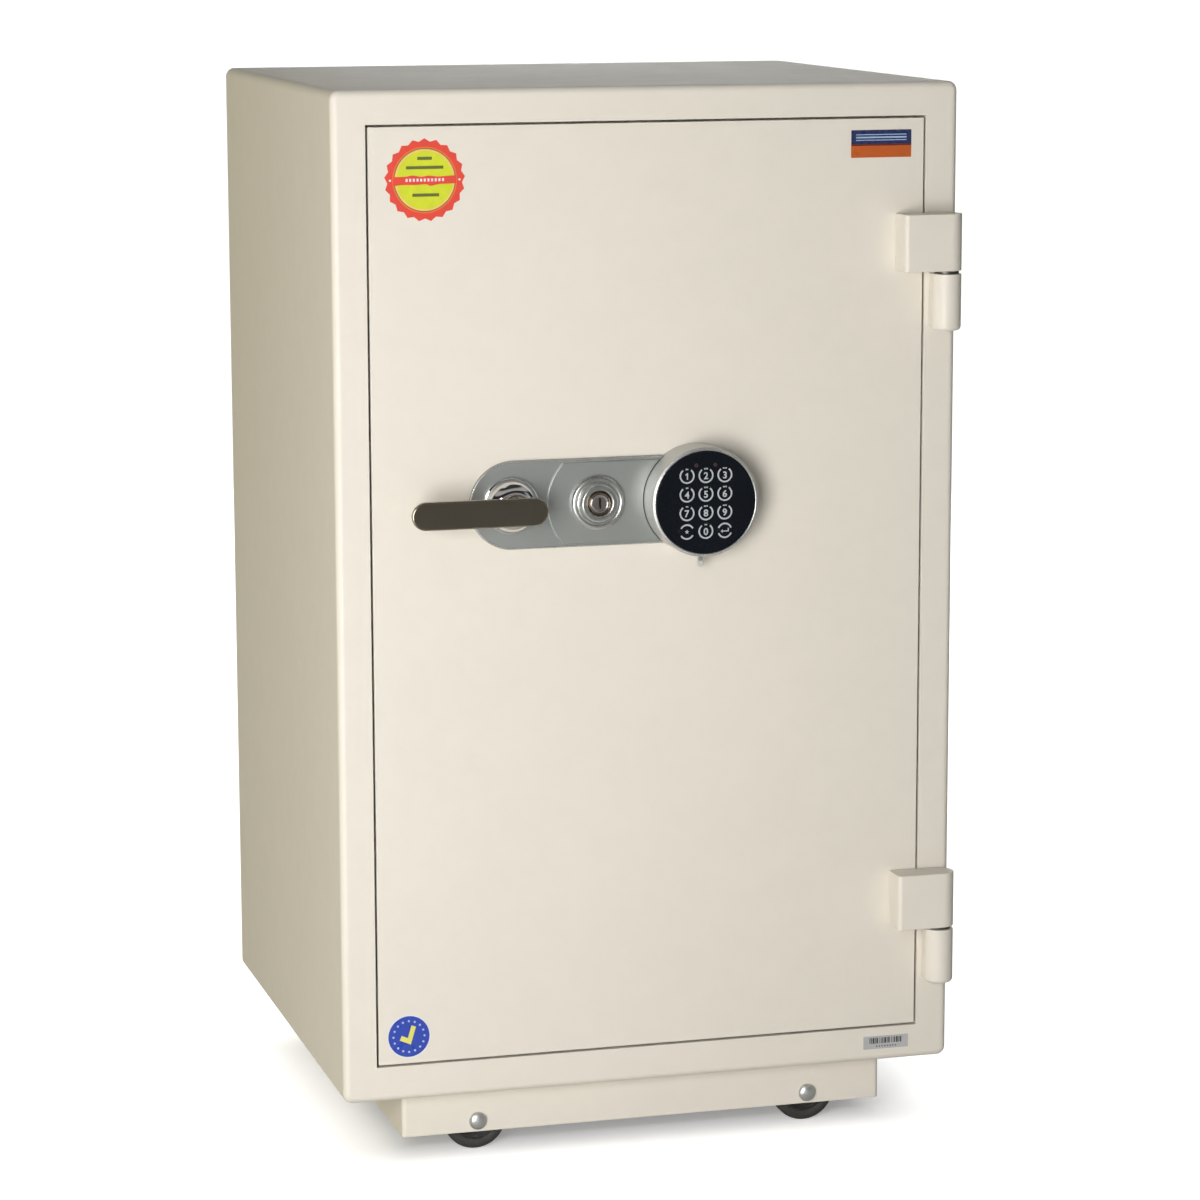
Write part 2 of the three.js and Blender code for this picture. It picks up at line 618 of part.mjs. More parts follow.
/** Upright bar that carries the bolts, with a level arm for the crank and the two studs. */
function boltBar() {
  const { left, right, front, back, bottom, top } = BAR;
  const offset = BOLT_THROW / 2;
  const slotWide = CRANK.pin + CRANK.play;
  const slot = block(
    HANDLE_X + offset - slotWide, HANDLE_X + offset + slotWide, ARM.front - 1, ARM.back + 1,
    LOCK_Z + offset - slotWide, LOCK_Z + CRANK_REACH + slotWide);
  const holes = BOLT_Z.map((z) => rod('x', BOLT.radius + GAP, left - 1, right + 1, [BOLT.depth, z]));
  const studs = [KEY_X, LATCH_X].map((x) =>
    rod('y', STUD.radius, STUD.front, ARM.front + 1, [x + offset, LOCK_Z + STUD.rise], 16));
  const bar = block(left, right, front, back, bottom, top);
  const arm = block(left + 1, ARM.right, ARM.front, ARM.back, ARM.low, ARM.high);
  return cut(join([bar, arm, ...studs]), [slot, ...holes]);
}

function lockingBolt(z) {
  return rod('x', BOLT.radius, BOLT.tip, BOLT.root, [BOLT.depth, z]);
}

/** Key plug with its keyhole, the tail behind it and the cam that stops the bolt bar. */
function keyPlug() {
  const { radius, back, tail, slot } = PLUG;
  const front = -PLATE.raised - 9.6;
  const barrel = join([
    rod('y', radius, front, back, [KEY_X, LOCK_Z]),
    rod('y', tail, back - 1, CAM.front + 1, [KEY_X, LOCK_Z], 16),
  ]);
  const keyhole = block(
    KEY_X - slot / 2, KEY_X + slot / 2, front - 1, front + 16, LOCK_Z - 5, LOCK_Z + 5);
  const arm = block(KEY_X, KEY_X + CAM.radius + 2, CAM.front, CAM.back,
    LOCK_Z - CAM.halfWidth, LOCK_Z + CAM.halfWidth);
  const hub = rod('y', CAM.halfWidth, CAM.front, CAM.back, [KEY_X, LOCK_Z]);
  const tip = rod('y', CAM.radius, CAM.front - 1, CAM.back + 1, [KEY_X, LOCK_Z], 32);
  return join([barrel.subtract(keyhole), hub.add(arm.intersect(tip))]);
}

function latchBolt() {
  const { halfWidth, front, back, tip, top } = LATCH;
  return block(LATCH_X - halfWidth, LATCH_X + halfWidth, front, back, tip, top);
}

// ---------------------------------------------------------------- assembly

const safe = new THREE.Group();

/** A named group of the assembly. */
function assembly(name) {
  const group = new THREE.Group();
  group.name = name;
  safe.add(group);
  return group;
}

/** Adds one named piece to a group. */
function place(group, name, solid, material) {
  const mesh = new THREE.Mesh(toGeometry(solid), material);
  mesh.name = name;
  group.add(mesh);
}

const cabinet = assembly('cabinet_group');
place(cabinet, 'outer_shell', outerShell(), IVORY);
place(cabinet, 'back_panel', backPanel(), IVORY);
place(cabinet, 'door_jamb', doorJamb(), IVORY);
place(cabinet, 'cabinet_filling', cabinetFilling(), FILLING);
place(cabinet, 'inner_liner', innerLiner(), LINER_PAINT);
place(cabinet, 'shelf_lower', shelf(SHELF_Z[0]), LINER_PAINT);
place(cabinet, 'shelf_upper', shelf(SHELF_Z[1]), LINER_PAINT);
place(cabinet, 'plinth', plinth(), IVORY);

const running = assembly('wheel_group');
for (const [end, rear] of [['front', false], ['rear', true]]) {
  for (const [hand, side] of [['left', -1], ['right', 1]]) {
    place(running, `wheel_${end}_${hand}`, wheel(side, rear), BLACK_RUBBER);
    place(running, `axle_bolt_${end}_${hand}`, axleBolt(side, rear), ZINC);
  }
}

const door = assembly('door_group');
place(door, 'door_skin', doorSkin(), IVORY);
place(door, 'door_filling', doorFilling(), FILLING);
place(door, 'door_liner', doorLiner(), LINER_PAINT);
place(door, 'mechanism_cover', mechanismCover(), LINER_PAINT);
place(door, 'door_seal', doorSeal(), BLACK_RUBBER);

for (const [index, level] of ['lower', 'upper'].entries()) {
  place(cabinet, `hinge_knuckle_${level}`, knuckle(HINGE_Z[index]), IVORY);
  place(cabinet, `hinge_pin_${level}`, hingePin(HINGE_Z[index]), STEEL);
  place(door, `hinge_leaf_${level}`, hingeLeaf(HINGE_Z[index]), IVORY);
  place(door, `dead_bolt_${level}`, deadBolt(DEAD_BOLT_Z[index]), STEEL);
}

const furniture = assembly('furniture_group');
place(furniture, 'escutcheon', escutcheon(), SILVER);
place(furniture, 'handle_rose', handleRose(), CHROME);
place(furniture, 'lock_bezel', lockBezel(), SILVER);
place(furniture, 'key_cylinder', keyCylinder(), CHROME);
place(furniture, 'keypad_housing', keypadHousing(), SILVER);
place(furniture, 'keypad_face', keypadFace(), BLACK_GLOSS);
place(furniture, 'keypad_board', keypadBoard(), BOARD_GREEN);
place(furniture, 'battery_tray', batteryTray(), BLACK_PLASTIC);
place(furniture, 'battery', battery(), BLACK_PLASTIC);
place(furniture, 'handle_lever', handleLever(), CHROME);
for (const [index, name] of KEY_NAMES.entries()) {
  place(furniture, `key_${name}`, keypadKey(index), BLACK_GLOSS);
}

const lockwork = assembly('lockwork_group');
place(lockwork, 'handle_spindle', handleSpindle(), STEEL);
place(lockwork, 'key_plug', keyPlug(), CHROME);
place(lockwork, 'bolt_bar', boltBar(), STEEL);
for (const [index, level] of ['lower', 'middle', 'upper'].entries()) {
  place(lockwork, `locking_bolt_${level}`, lockingBolt(BOLT_Z[index]), ZINC);
}
place(lockwork, 'electronic_lock', lockCase(), BLACK_PLASTIC);
place(lockwork, 'electronic_lock_bolt', latchBolt(), STEEL);
place(lockwork, 'lock_cable', lockCable(), BLACK_PLASTIC);

export default safe;
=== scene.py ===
"""Looks of a fire-resistant cabinet safe on wheels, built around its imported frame.

Lengths are in metres. X runs to the right, Y to the back and Z up, as in the frame.
"""

import json
import logging
import math
from dataclasses import dataclass, field
from enum import Enum
from typing import Callable, Iterable, Sequence, Union

import bmesh
import bpy
from mathutils import Matrix, Vector


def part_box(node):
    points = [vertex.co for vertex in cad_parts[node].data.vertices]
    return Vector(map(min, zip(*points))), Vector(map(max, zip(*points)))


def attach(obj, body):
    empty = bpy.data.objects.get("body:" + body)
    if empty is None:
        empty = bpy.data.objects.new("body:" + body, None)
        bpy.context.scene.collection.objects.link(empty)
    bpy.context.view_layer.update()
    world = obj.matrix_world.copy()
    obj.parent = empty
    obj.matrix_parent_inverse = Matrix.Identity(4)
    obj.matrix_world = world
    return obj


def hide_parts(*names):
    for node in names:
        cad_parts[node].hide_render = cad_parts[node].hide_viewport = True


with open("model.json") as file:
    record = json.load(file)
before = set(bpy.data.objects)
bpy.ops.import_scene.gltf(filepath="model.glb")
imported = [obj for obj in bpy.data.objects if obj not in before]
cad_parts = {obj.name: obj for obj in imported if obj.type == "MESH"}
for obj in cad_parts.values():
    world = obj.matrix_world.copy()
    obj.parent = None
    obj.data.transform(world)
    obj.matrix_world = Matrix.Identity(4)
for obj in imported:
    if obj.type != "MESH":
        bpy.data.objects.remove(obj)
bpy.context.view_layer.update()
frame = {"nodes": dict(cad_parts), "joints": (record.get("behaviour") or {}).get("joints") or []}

LOG = logging.getLogger("cabinet_safe")
MM = 0.001
CLEAR = 5 * MM  # how far a cutter reaches past what it cuts
LOCK_HOLE = 10.55 * MM  # radius of the hole for the key lock, in the door and in its plate

Point = tuple[float, float]
Colour = tuple[float, float, float]
Piece = bpy.types.Object
Socket = bpy.types.NodeSocket
NodeTree = bpy.types.NodeTree
SocketValue = Union[float, tuple, Socket]


# ---------------------------------------------------------------- outlines


class Plane(Enum):
    """The two directions that an outline is drawn in, and the one it is given thickness in."""

    FRONT = "drawn in X and Z, thickness along Y"
    LEVEL = "drawn in X and Y, thickness along Z"
    SIDE = "drawn in Y and Z, thickness along X"

    def point(self, a: float, b: float, along: float) -> Vector:
        """A point of the plane, at a distance along its third direction."""
        places = {Plane.FRONT: (a, along, b), Plane.LEVEL: (a, b, along), Plane.SIDE: (along, a, b)}
        return Vector(places[self])

    def ring(self, outline: Iterable[Point], along: float) -> list[Vector]:
        """A whole outline, at a distance along the third direction."""
        return [self.point(a, b, along) for a, b in outline]


FRONT, LEVEL, SIDE = Plane


class Ends(Enum):
    """How the first and the last ring of a skin are closed."""

    LOOP = "the last ring is joined to the first"
    CAPS = "each end has a flat face"
    POLES = "each end has shrunk to a point"


def polar(centre: Point, radius: float, angle: float) -> Point:
    """The point of a circle at an angle in degrees."""
    turn = math.radians(angle)
    return (centre[0] + radius * math.cos(turn), centre[1] + radius * math.sin(turn))


def arc(centre: Point, radius: float, start: float, end: float, steps: int) -> list[Point]:
    """Points along a round stretch, both ends included.

    Args:
        centre: Middle of the circle.
        radius: Radius of the circle.
        start: First angle, in degrees.
        end: Last angle, in degrees.
        steps: Number of straight pieces.

    Returns:
        The points in order.
    """
    return [polar(centre, radius, start + (end - start) * k / steps) for k in range(steps + 1)]


def rounded_rect(x0: float, x1: float, y0: float, y1: float, radius: float, steps: int = 8) -> list[Point]:
    """A rectangle with round corners, as an outline that starts at its lower right.

    Args:
        x0: Left.
        x1: Right.
        y0: Bottom.
        y1: Top.
        radius: Radius of each corner.
        steps: Straight pieces in each corner.

    Returns:
        The points in order.
    """
    corners = [
        ((x1 - radius, y0 + radius), -90),
        ((x1 - radius, y1 - radius), 0),
        ((x0 + radius, y1 - radius), 90),
        ((x0 + radius, y0 + radius), 180),
    ]
    return [point for centre, start in corners for point in arc(centre, radius, start, start + 90, steps)]


def stadium(x0: float, x1: float, y: float, radius: float, steps: int = 40) -> list[Point]:
    """A level bar with full-round ends about x0 and x1."""
    return arc((x1, y), radius, -90, 90, steps) + arc((x0, y), radius, 90, 270, steps)


def hexagon(centre: Point, radius: float) -> list[Point]:
    """Six corners of a nut."""
    return arc(centre, radius, 0, 300, 5)


def block(x0: float, x1: float, y0: float, y1: float) -> list[Point]:
    """A rectangle with sharp corners."""
    return [(x0, y0), (x1, y0), (x1, y1), (x0, y1)]


def pointed(centre: Point, tips: int, radius: float, valley: float) -> list[Point]:
    """A star or a toothed circle, whose valleys lie at a share of its radius."""
    reaches = [radius, radius * valley] * tips
    return [polar(centre, reach, 90 + 180 * k / tips) for k, reach in enumerate(reaches)]


def soften(points: Sequence[Point], radius: float, closed: bool = True, steps: int = 4) -> list[Point]:
    """Rounds the corners of an outline or a profile.

    Args:
        points: The corners in order.
        radius: How far from a corner its round starts, less where a side is short.
        closed: Whether the last corner is joined to the first.
        steps: Straight pieces in each round.

    Returns:
        The softened points in order.
    """
    result: list[Point] = []
    for i, corner in enumerate(points):
        if not closed and i in (0, len(points) - 1):
            result.append(corner)
            continue
        at = Vector(corner)
        before = Vector(points[i - 1]) - at
        after = Vector(points[(i + 1) % len(points)]) - at
        start = at + before.normalized() * min(radius, before.length * 0.45)
        end = at + after.normalized() * min(radius, after.length * 0.45)
        for k in range(steps + 1):
            t = k / steps
            spot = start * (1 - t) ** 2 + at * 2 * t * (1 - t) + end * t * t
            result.append((spot.x, spot.y))
    return result


# ---------------------------------------------------------------- meshes


def to_object(name: str, mesh: bmesh.types.BMesh) -> Piece:
    """Turns a finished mesh into an object of the scene, with its faces pointing out.

    Args:
        name: Name of the object.
        mesh: The finished mesh, which is used up.

    Returns:
        The new object.
    """
    bmesh.ops.remove_doubles(mesh, verts=mesh.verts, dist=1e-7)
    bmesh.ops.recalc_face_normals(mesh, faces=mesh.faces)
    data = bpy.data.meshes.new(name)
    mesh.to_mesh(data)
    mesh.free()
    made = bpy.data.objects.new(name, data)
    bpy.context.scene.collection.objects.link(made)
    return made


def add_skin(mesh: bmesh.types.BMesh, rings: Sequence[Sequence[Vector]], ends: Ends) -> None:
    """Stretches faces over a run of rings that all have the same number of points.

    Args:
        mesh: The mesh that takes the faces.
        rings: The rings in order.
        ends: How the run is closed.
    """
    rows = [[mesh.verts.new(spot) for spot in ring] for ring in rings]
    pairs = list(zip(rows, rows[1:]))
    if ends is Ends.LOOP:
        pairs.append((rows[-1], rows[0]))
    for one, other in pairs:
        for i in range(len(one)):
            j = (i + 1) % len(one)
            mesh.faces.new((one[i], one[j], other[j], other[i]))
    if ends is Ends.CAPS:
        mesh.faces.new(rows[0])
        mesh.faces.new(rows[-1])


def loft(name: str, rings: Sequence[Sequence[Vector]], ends: Ends = Ends.LOOP) -> Piece:
    """An object made of one skin over a run of rings.

    Args:
        name: Name of the object.
        rings: The rings in order.
        ends: How the run is closed.

    Returns:
        The new object.
    """
    mesh = bmesh.new()
    add_skin(mesh, rings, ends)
    return to_object(name, mesh)


def prism(name: str, outline: Sequence[Point], plane: Plane, low: float, high: float,
          edge: float = 0.0) -> Piece:
    """An outline with thickness.

    Args:
        name: Name of the object.
        outline: The shape, in the plane's two directions.
        plane: Where the outline lies.
        low: Start of the thickness.
        high: End of the thickness.
        edge: Width of the round along its sharp edges.

    Returns:
        The new object.
    """
    made = loft(name, [plane.ring(outline, low), plane.ring(outline, high)], Ends.CAPS)
    if edge > 0:
        round_edges(made, edge)
    return made


def revolve(name: str, profile: Sequence[Point], plane: Plane, centre: Point,
            sides: int = 64) -> Piece:
    """A profile turned about a line that is square to a plane.

    Args:
        name: Name of the object.
        profile: Points of radius and distance along the line. It closes on itself, unless both
            ends lie on the line.
        plane: The plane that the circles lie in.
        centre: Where the line crosses the plane.
        sides: Number of sides round the circle.

    Returns:
        The new object.
    """
    on_line = profile[0][0] < 1e-9 and profile[-1][0] < 1e-9
    turns = [2 * math.pi * k / sides for k in range(sides)]
    rings = []
    for radius, along in profile:
        circle = [(centre[0] + radius * math.cos(t), centre[1] + radius * math.sin(t)) for t in turns]
        rings.append(plane.ring(circle, along))
    return loft(name, rings, Ends.POLES if on_line else Ends.LOOP)


def round_edges(piece: Piece, width: float, segments: int = 3, angle: float = 50) -> None:
    """Puts a round along every edge of a piece that is sharper than an angle in degrees.

    Args:
        piece: The piece that is changed.
        width: Width of the round.
        segments: Straight pieces in the round.
        angle: The least turn between two faces, in degrees.
    """
    mesh = bmesh.new()
    mesh.from_mesh(piece.data)
    sharp = [
        e for e in mesh.edges
        if len(e.link_faces) == 2 and e.calc_face_angle() > math.radians(angle)
    ]
    bmesh.ops.bevel(
        mesh, geom=sharp, offset=width, offset_type="OFFSET", segments=segments, profile=0.5,
        affect="EDGES", clamp_overlap=True)
    bmesh.ops.recalc_face_normals(mesh, faces=mesh.faces)
    mesh.to_mesh(piece.data)
    mesh.free()


def apply_tools(piece: Piece, tools: Sequence[Piece], operation: str) -> None:
    """Joins or cuts a piece with other shapes, which are used up.

    Args:
        piece: The piece that is changed.
        tools: The shapes that join it or cut it.
        operation: DIFFERENCE cuts them out, UNION joins them on and INTERSECT keeps what they share.
    """
    for tool in tools:
        step = piece.modifiers.new("shape", "BOOLEAN")
        step.operation = operation
        step.solver = "EXACT"
        step.object = tool
    bpy.context.view_layer.update()
    graph = bpy.context.evaluated_depsgraph_get()
    shaped = bpy.data.meshes.new_from_object(piece.evaluated_get(graph))
    piece.modifiers.clear()
    piece.data = shaped
    for tool in tools:
        bpy.data.objects.remove(tool)


def merge(name: str, pieces: Sequence[Piece]) -> Piece:
    """Puts the meshes of several pieces into one object, and removes the pieces.

    Args:
        name: Name of the object.
        pieces: The pieces, which are used up.

    Returns:
        The new object.
    """
    mesh = bmesh.new()
    for piece in pieces:
        mesh.from_mesh(piece.data)
        bpy.data.objects.remove(piece)
    return to_object(name, mesh)


def round_cutter(plane: Plane, centre: Point, radius: float, low: float, high: float,
                 sides: int = 48) -> Piece:
    """A plain rod that cuts a round hole."""
    return prism("cutter", arc(centre, radius, 0, 360 * (1 - 1 / sides), sides - 1), plane, low, high)


def lettering(text: str, height: float, centre: Point, depth: float, thickness: float) -> Piece:
    """A numeral that stands upright and faces the front, as a thin mesh.

    Args:
        text: What it says.
        height: Height of a numeral.
        centre: X and Z of its middle.
        depth: Y of its front.
        thickness: How thick it is.

    Returns:
        The new object.
    """
    curve = bpy.data.curves.new("numeral", "FONT")
    curve.body = text
    curve.align_x = "CENTER"
    curve.align_y = "CENTER"
    curve.size = height / 0.69
    curve.extrude = thickness / 2
    curve.offset = height * 0.035
    curve.resolution_u = 6
    source = bpy.data.objects.new("numeral", curve)
    bpy.context.scene.collection.objects.link(source)
    bpy.context.view_layer.update()
    data = bpy.data.meshes.new_from_object(source)
    bpy.data.objects.remove(source)
    data.transform(Matrix.Rotation(math.radians(90), 4, "X"))
    low = Vector([min(v.co[i] for v in data.vertices) for i in range(3)])
    high = Vector([max(v.co[i] for v in data.vertices) for i in range(3)])
    middle = (low + high) / 2
    data.transform(Matrix.Translation(Vector((centre[0], depth + thickness / 2, centre[1])) - middle))
    made = bpy.data.objects.new("numeral", data)
    bpy.context.scene.collection.objects.link(made)
    return made


# ---------------------------------------------------------------- node boards and effects


class NodeBoard:
    """Adds nodes to one material or node group, and links them."""

    def __init__(self, tree: NodeTree) -> None:
        """Takes the tree that the nodes go into."""
        self.tree = tree

    def add(self, kind: str, inputs: dict[Union[str, int], SocketValue] | None = None,
            **properties: object) -> bpy.types.Node:
        """Adds one node.

        Args:
            kind: Blender's name of the node type.
            inputs: Values or output sockets for its inputs.
            properties: Settings of the node itself.

        Returns:
            The new node.
        """
        node = self.tree.nodes.new(kind)
        for key, value in properties.items():
            setattr(node, key, value)
        for key, value in (inputs or {}).items():
            if isinstance(value, Socket):
                self.tree.links.new(value, node.inputs[key])
            else:
                node.inputs[key].default_value = value
        return node

    def math(self, operation: str, *values: SocketValue, clamp: bool = False) -> Socket:
        """The result of one sum on numbers."""
        inputs = dict(enumerate(values))
        return self.add("ShaderNodeMath", inputs, operation=operation, use_clamp=clamp).outputs[0]

    def noise(self, place: SocketValue, scale: SocketValue, detail: float = 2.0,
              roughness: float = 0.5) -> Socket:
        """A soft random value from 0 to 1 over a place."""
        inputs = {"Vector": place, "Scale": scale, "Detail": detail, "Roughness": roughness}
        return self.add("ShaderNodeTexNoise", inputs).outputs["Fac"]

    def spread(self, value: SocketValue, low: float, high: float, to_low: SocketValue = 0.0,
               to_high: SocketValue = 1.0) -> Socket:
        """A value stretched from one range to another, and kept inside it."""
        inputs = {"Value": value, "From Min": low, "From Max": high, "To Min": to_low, "To Max": to_high}
        return self.add("ShaderNodeMapRange", inputs).outputs["Result"]

    def mix(self, factor: SocketValue, first: SocketValue, second: SocketValue) -> Socket:
        """A colour between two colours, which is the first one at a factor of 0."""
        inputs = {0: factor, 6: first, 7: second}
        return self.add("ShaderNodeMix", inputs, data_type="RGBA").outputs[2]

    def effect(self, group: NodeTree, **inputs: SocketValue) -> bpy.types.NodeOutputs:
        """The outputs of a shared effect, with its own values."""
        return self.add("ShaderNodeGroup", inputs, node_tree=group).outputs

    def value(self, group: NodeTree, **inputs: SocketValue) -> Socket:
        """The first output of a shared effect, with its own values."""
        return self.effect(group, **inputs)[0]

    def place(self) -> Socket:
        """The place on the piece that is being shaded."""
        return self.add("ShaderNodeTexCoord").outputs["Object"]

    def feed(self, value: Socket, node: bpy.types.Node, name: str) -> None:
        """Links a value to a named input of a node."""
        self.tree.links.new(value, node.inputs[name])


class SurfaceBoard(NodeBoard):
    """The board of one material, with its shader."""

    def __init__(self, tree: NodeTree) -> None:
        """Takes the material's tree, and adds the shader."""
        super().__init__(tree)
        self.shader = self.add("ShaderNodeBsdfPrincipled")

    def preset(self, name: str, value: Union[float, tuple]) -> None:
        """Gives an input of the shader a fixed value."""
        self.shader.inputs[name].default_value = value

    def colour(self, value: Socket) -> None:
        """Links the colour of the surface."""
        self.feed(value, self.shader, "Base Color")

    def roughness(self, value: Socket) -> None:
        """Links how rough the surface is."""
        self.feed(value, self.shader, "Roughness")

    def bump(self, height: Socket, strength: float, distance: float) -> None:
        """Turns a height over the surface into a bump, with how much of it shows and how high it is."""
        inputs = {"Height": height, "Strength": strength, "Distance": distance}
        self.feed(self.add("ShaderNodeBump", inputs).outputs[0], self.shader, "Normal")


Sockets = dict[str, Socket]
Draw = Callable[[NodeBoard, bpy.types.NodeOutputs], Sockets]
Effect = Callable[[], NodeTree]
NUMBER = "NodeSocketFloat"
INPUT_KINDS = {1: NUMBER, 3: "NodeSocketVector", 4: "NodeSocketColor"}


def make_group(name: str, takes: dict[str, Union[float, tuple]], gives: dict[str, str],
               draw: Draw) -> NodeTree:
    """Makes a node group once, and finds it again after that.

    Args:
        name: Name of the group.
        takes: Its inputs, with their usual values. A number, a vector of 3 or a colour of 4.
        gives: The socket type of each of its outputs.
        draw: Adds the nodes, and returns the socket for each output.

    Returns:
        The node group.
    """
    if name in bpy.data.node_groups:
        return bpy.data.node_groups[name]
    group = bpy.data.node_groups.new(name, "ShaderNodeTree")
    for key, value in takes.items():
        size = len(value) if isinstance(value, tuple) else 1
        socket = group.interface.new_socket(name=key, in_out="INPUT", socket_type=INPUT_KINDS[size])
        socket.default_value = value
    for key, kind in gives.items():
        group.interface.new_socket(name=key, in_out="OUTPUT", socket_type=kind)
    board = NodeBoard(group)
    results = draw(board, board.add("NodeGroupInput").outputs)
    end = board.add("NodeGroupOutput")
    for key, socket in results.items():
        board.feed(socket, end, key)
    return group


def shared_effect(gives: dict[str, str], **takes: Union[float, tuple]) -> Callable[[Draw], Effect]:
    """Turns a function that draws nodes into one that gives them as a shared group.

    Args:
        gives: The socket type of each of its outputs.
        takes: Its inputs, with their usual values.

    Returns:
        The decorator.
    """

    def wrap(draw: Draw) -> Effect:
        """Gives the drawing function's group, under the function's own name."""
        return lambda: make_group(draw.__name__, takes, gives, draw)

    return wrap


@shared_effect({"Height": NUMBER}, Grain=900.0, Wave=2.0)
def paint_relief(board: NodeBoard, given: bpy.types.NodeOutputs) -> Sockets:
    """The fine ripple of sprayed or powder paint, with a broad wave of the sheet under it.

    Args:
        board: The board of the group.
        given: Its input values.

    Returns:
        Its outputs by name.
    """
    place = board.place()
    fine = board.noise(place, given["Grain"], 2.0, 0.45)
    broad = board.noise(place, board.math("MULTIPLY", given["Grain"], 0.012), 1.0)
    wave = board.math("MULTIPLY", broad, given["Wave"])
    return {"Height": board.math("ADD", fine, wave)}


@shared_effect({"Color": "NodeSocketColor", "Value": NUMBER}, Light=(0.8, 0.8, 0.8, 1.0),
               Dark=(0.7, 0.7, 0.7, 1.0), Scale=3.0)
def tone_drift(board: NodeBoard, given: bpy.types.NodeOutputs) -> Sockets:
    """A slow change between two near tones, with a finer mottle on top.

    Args:
        board: The board of the group.
        given: Its input values.

    Returns:
        Its outputs by name.
    """
    place = board.place()
    slow = board.noise(place, given["Scale"], 3.0, 0.55)
    fine = board.noise(place, board.math("MULTIPLY", given["Scale"], 22.0), 2.0, 0.6)
    blend = board.math("ADD", board.math("MULTIPLY", slow, 0.7), board.math("MULTIPLY", fine, 0.3))
    value = board.spread(blend, 0.36, 0.64)
    return {"Color": board.mix(value, given["Light"], given["Dark"]), "Value": value}


@shared_effect({"Mask": NUMBER}, Width=0.0008, Cover=0.5, Grain=60.0)
def edge_wear_and_highlight(board: NodeBoard, given: bpy.types.NodeOutputs) -> Sockets:
    """A mask of rubbed edges, broken up in patches so that no edge is rubbed all along. The silver paint also
    uses it for a painted highlight along its edges.

    Args:
        board: The board of the group.
        given: Its input values.

    Returns:
        Its outputs by name.
    """
    place = board.place()
    rounded = board.add("ShaderNodeBevel", {"Radius": given["Width"]}, samples=4).outputs[0]
    flat = board.add("ShaderNodeNewGeometry").outputs["Normal"]
    same = board.add("ShaderNodeVectorMath", {0: rounded, 1: flat}, operation="DOT_PRODUCT")
    edge = board.spread(board.math("SUBTRACT", 1.0, same.outputs["Value"]), 0.004, 0.12)
    patches = board.spread(board.noise(place, given["Grain"], 4.0, 0.65), 0.46, 0.62)
    cover = board.math("MULTIPLY", given["Cover"], patches)
    return {"Mask": board.math("MULTIPLY", edge, cover, clamp=True)}


@shared_effect({"Mask": NUMBER}, Cover=0.3, Scale=40.0)
def settled_dust(board: NodeBoard, given: bpy.types.NodeOutputs) -> Sockets:
    """A mask of thin dust on the surfaces that face up.

    Args:
        board: The board of the group.
        given: Its input values.

    Returns:
        Its outputs by name.
    """
    where = board.add("ShaderNodeTexCoord")
    facing = board.add("ShaderNodeSeparateXYZ", {0: where.outputs["Normal"]}).outputs["Z"]
    upward = board.spread(facing, 0.35, 0.95)
    clumps = board.noise(where.outputs["Object"], given["Scale"], 5.0, 0.62)
    cover = board.math("MULTIPLY", board.spread(clumps, 0.34, 0.72), given["Cover"])
    return {"Mask": board.math("MULTIPLY", upward, cover, clamp=True)}


@shared_effect({"Height": NUMBER}, Spacing=(40.0, 40.0, 2500.0))
def brushing(board: NodeBoard, given: bpy.types.NodeOutputs) -> Sockets:
    """Fine parallel scratches. Spacing is how many there are along each direction.

    Args:
        board: The board of the group.
        given: Its input values.

    Returns:
        Its outputs by name.
    """
    place = board.place()
    inputs = {0: place, 1: given["Spacing"]}
    stretched = board.add("ShaderNodeVectorMath", inputs, operation="MULTIPLY").outputs[0]
    return {"Height": board.noise(stretched, 1.0, 3.0, 0.7)}


@shared_effect({"Mask": NUMBER}, Scale=45.0, Cover=0.5)
def handling(board: NodeBoard, given: bpy.types.NodeOutputs) -> Sockets:
    """A mask of the smears that hands leave on a glossy surface.

    Args:
        board: The board of the group.
        given: Its input values.

    Returns:
        Its outputs by name.
    """
    place = board.place()
    smear = board.noise(place, given["Scale"], 4.0, 0.7)
    fine = board.noise(place, board.math("MULTIPLY", given["Scale"], 9.0), 2.0, 0.6)
    both = board.math("MULTIPLY", board.spread(smear, 0.45, 0.75), board.spread(fine, 0.2, 0.8))
    return {"Mask": board.math("MULTIPLY", both, given["Cover"], clamp=True)}


# ---------------------------------------------------------------- finishes

PALE_DUST = (0.60, 0.57, 0.51, 1.0)
GREY_DUST = (0.45, 0.43, 0.40, 1.0)
DARK_DUST = (0.42, 0.40, 0.37, 1.0)


def with_alpha(colour: Colour) -> tuple[float, float, float, float]:
    """A colour with full cover."""
    return (*colour, 1.0)


def toned(colour: Colour, factor: float) -> tuple[float, float, float, float]:
    """A colour made lighter or darker by a factor, with full cover."""
    return (*(min(1.0, part * factor) for part in colour), 1.0)


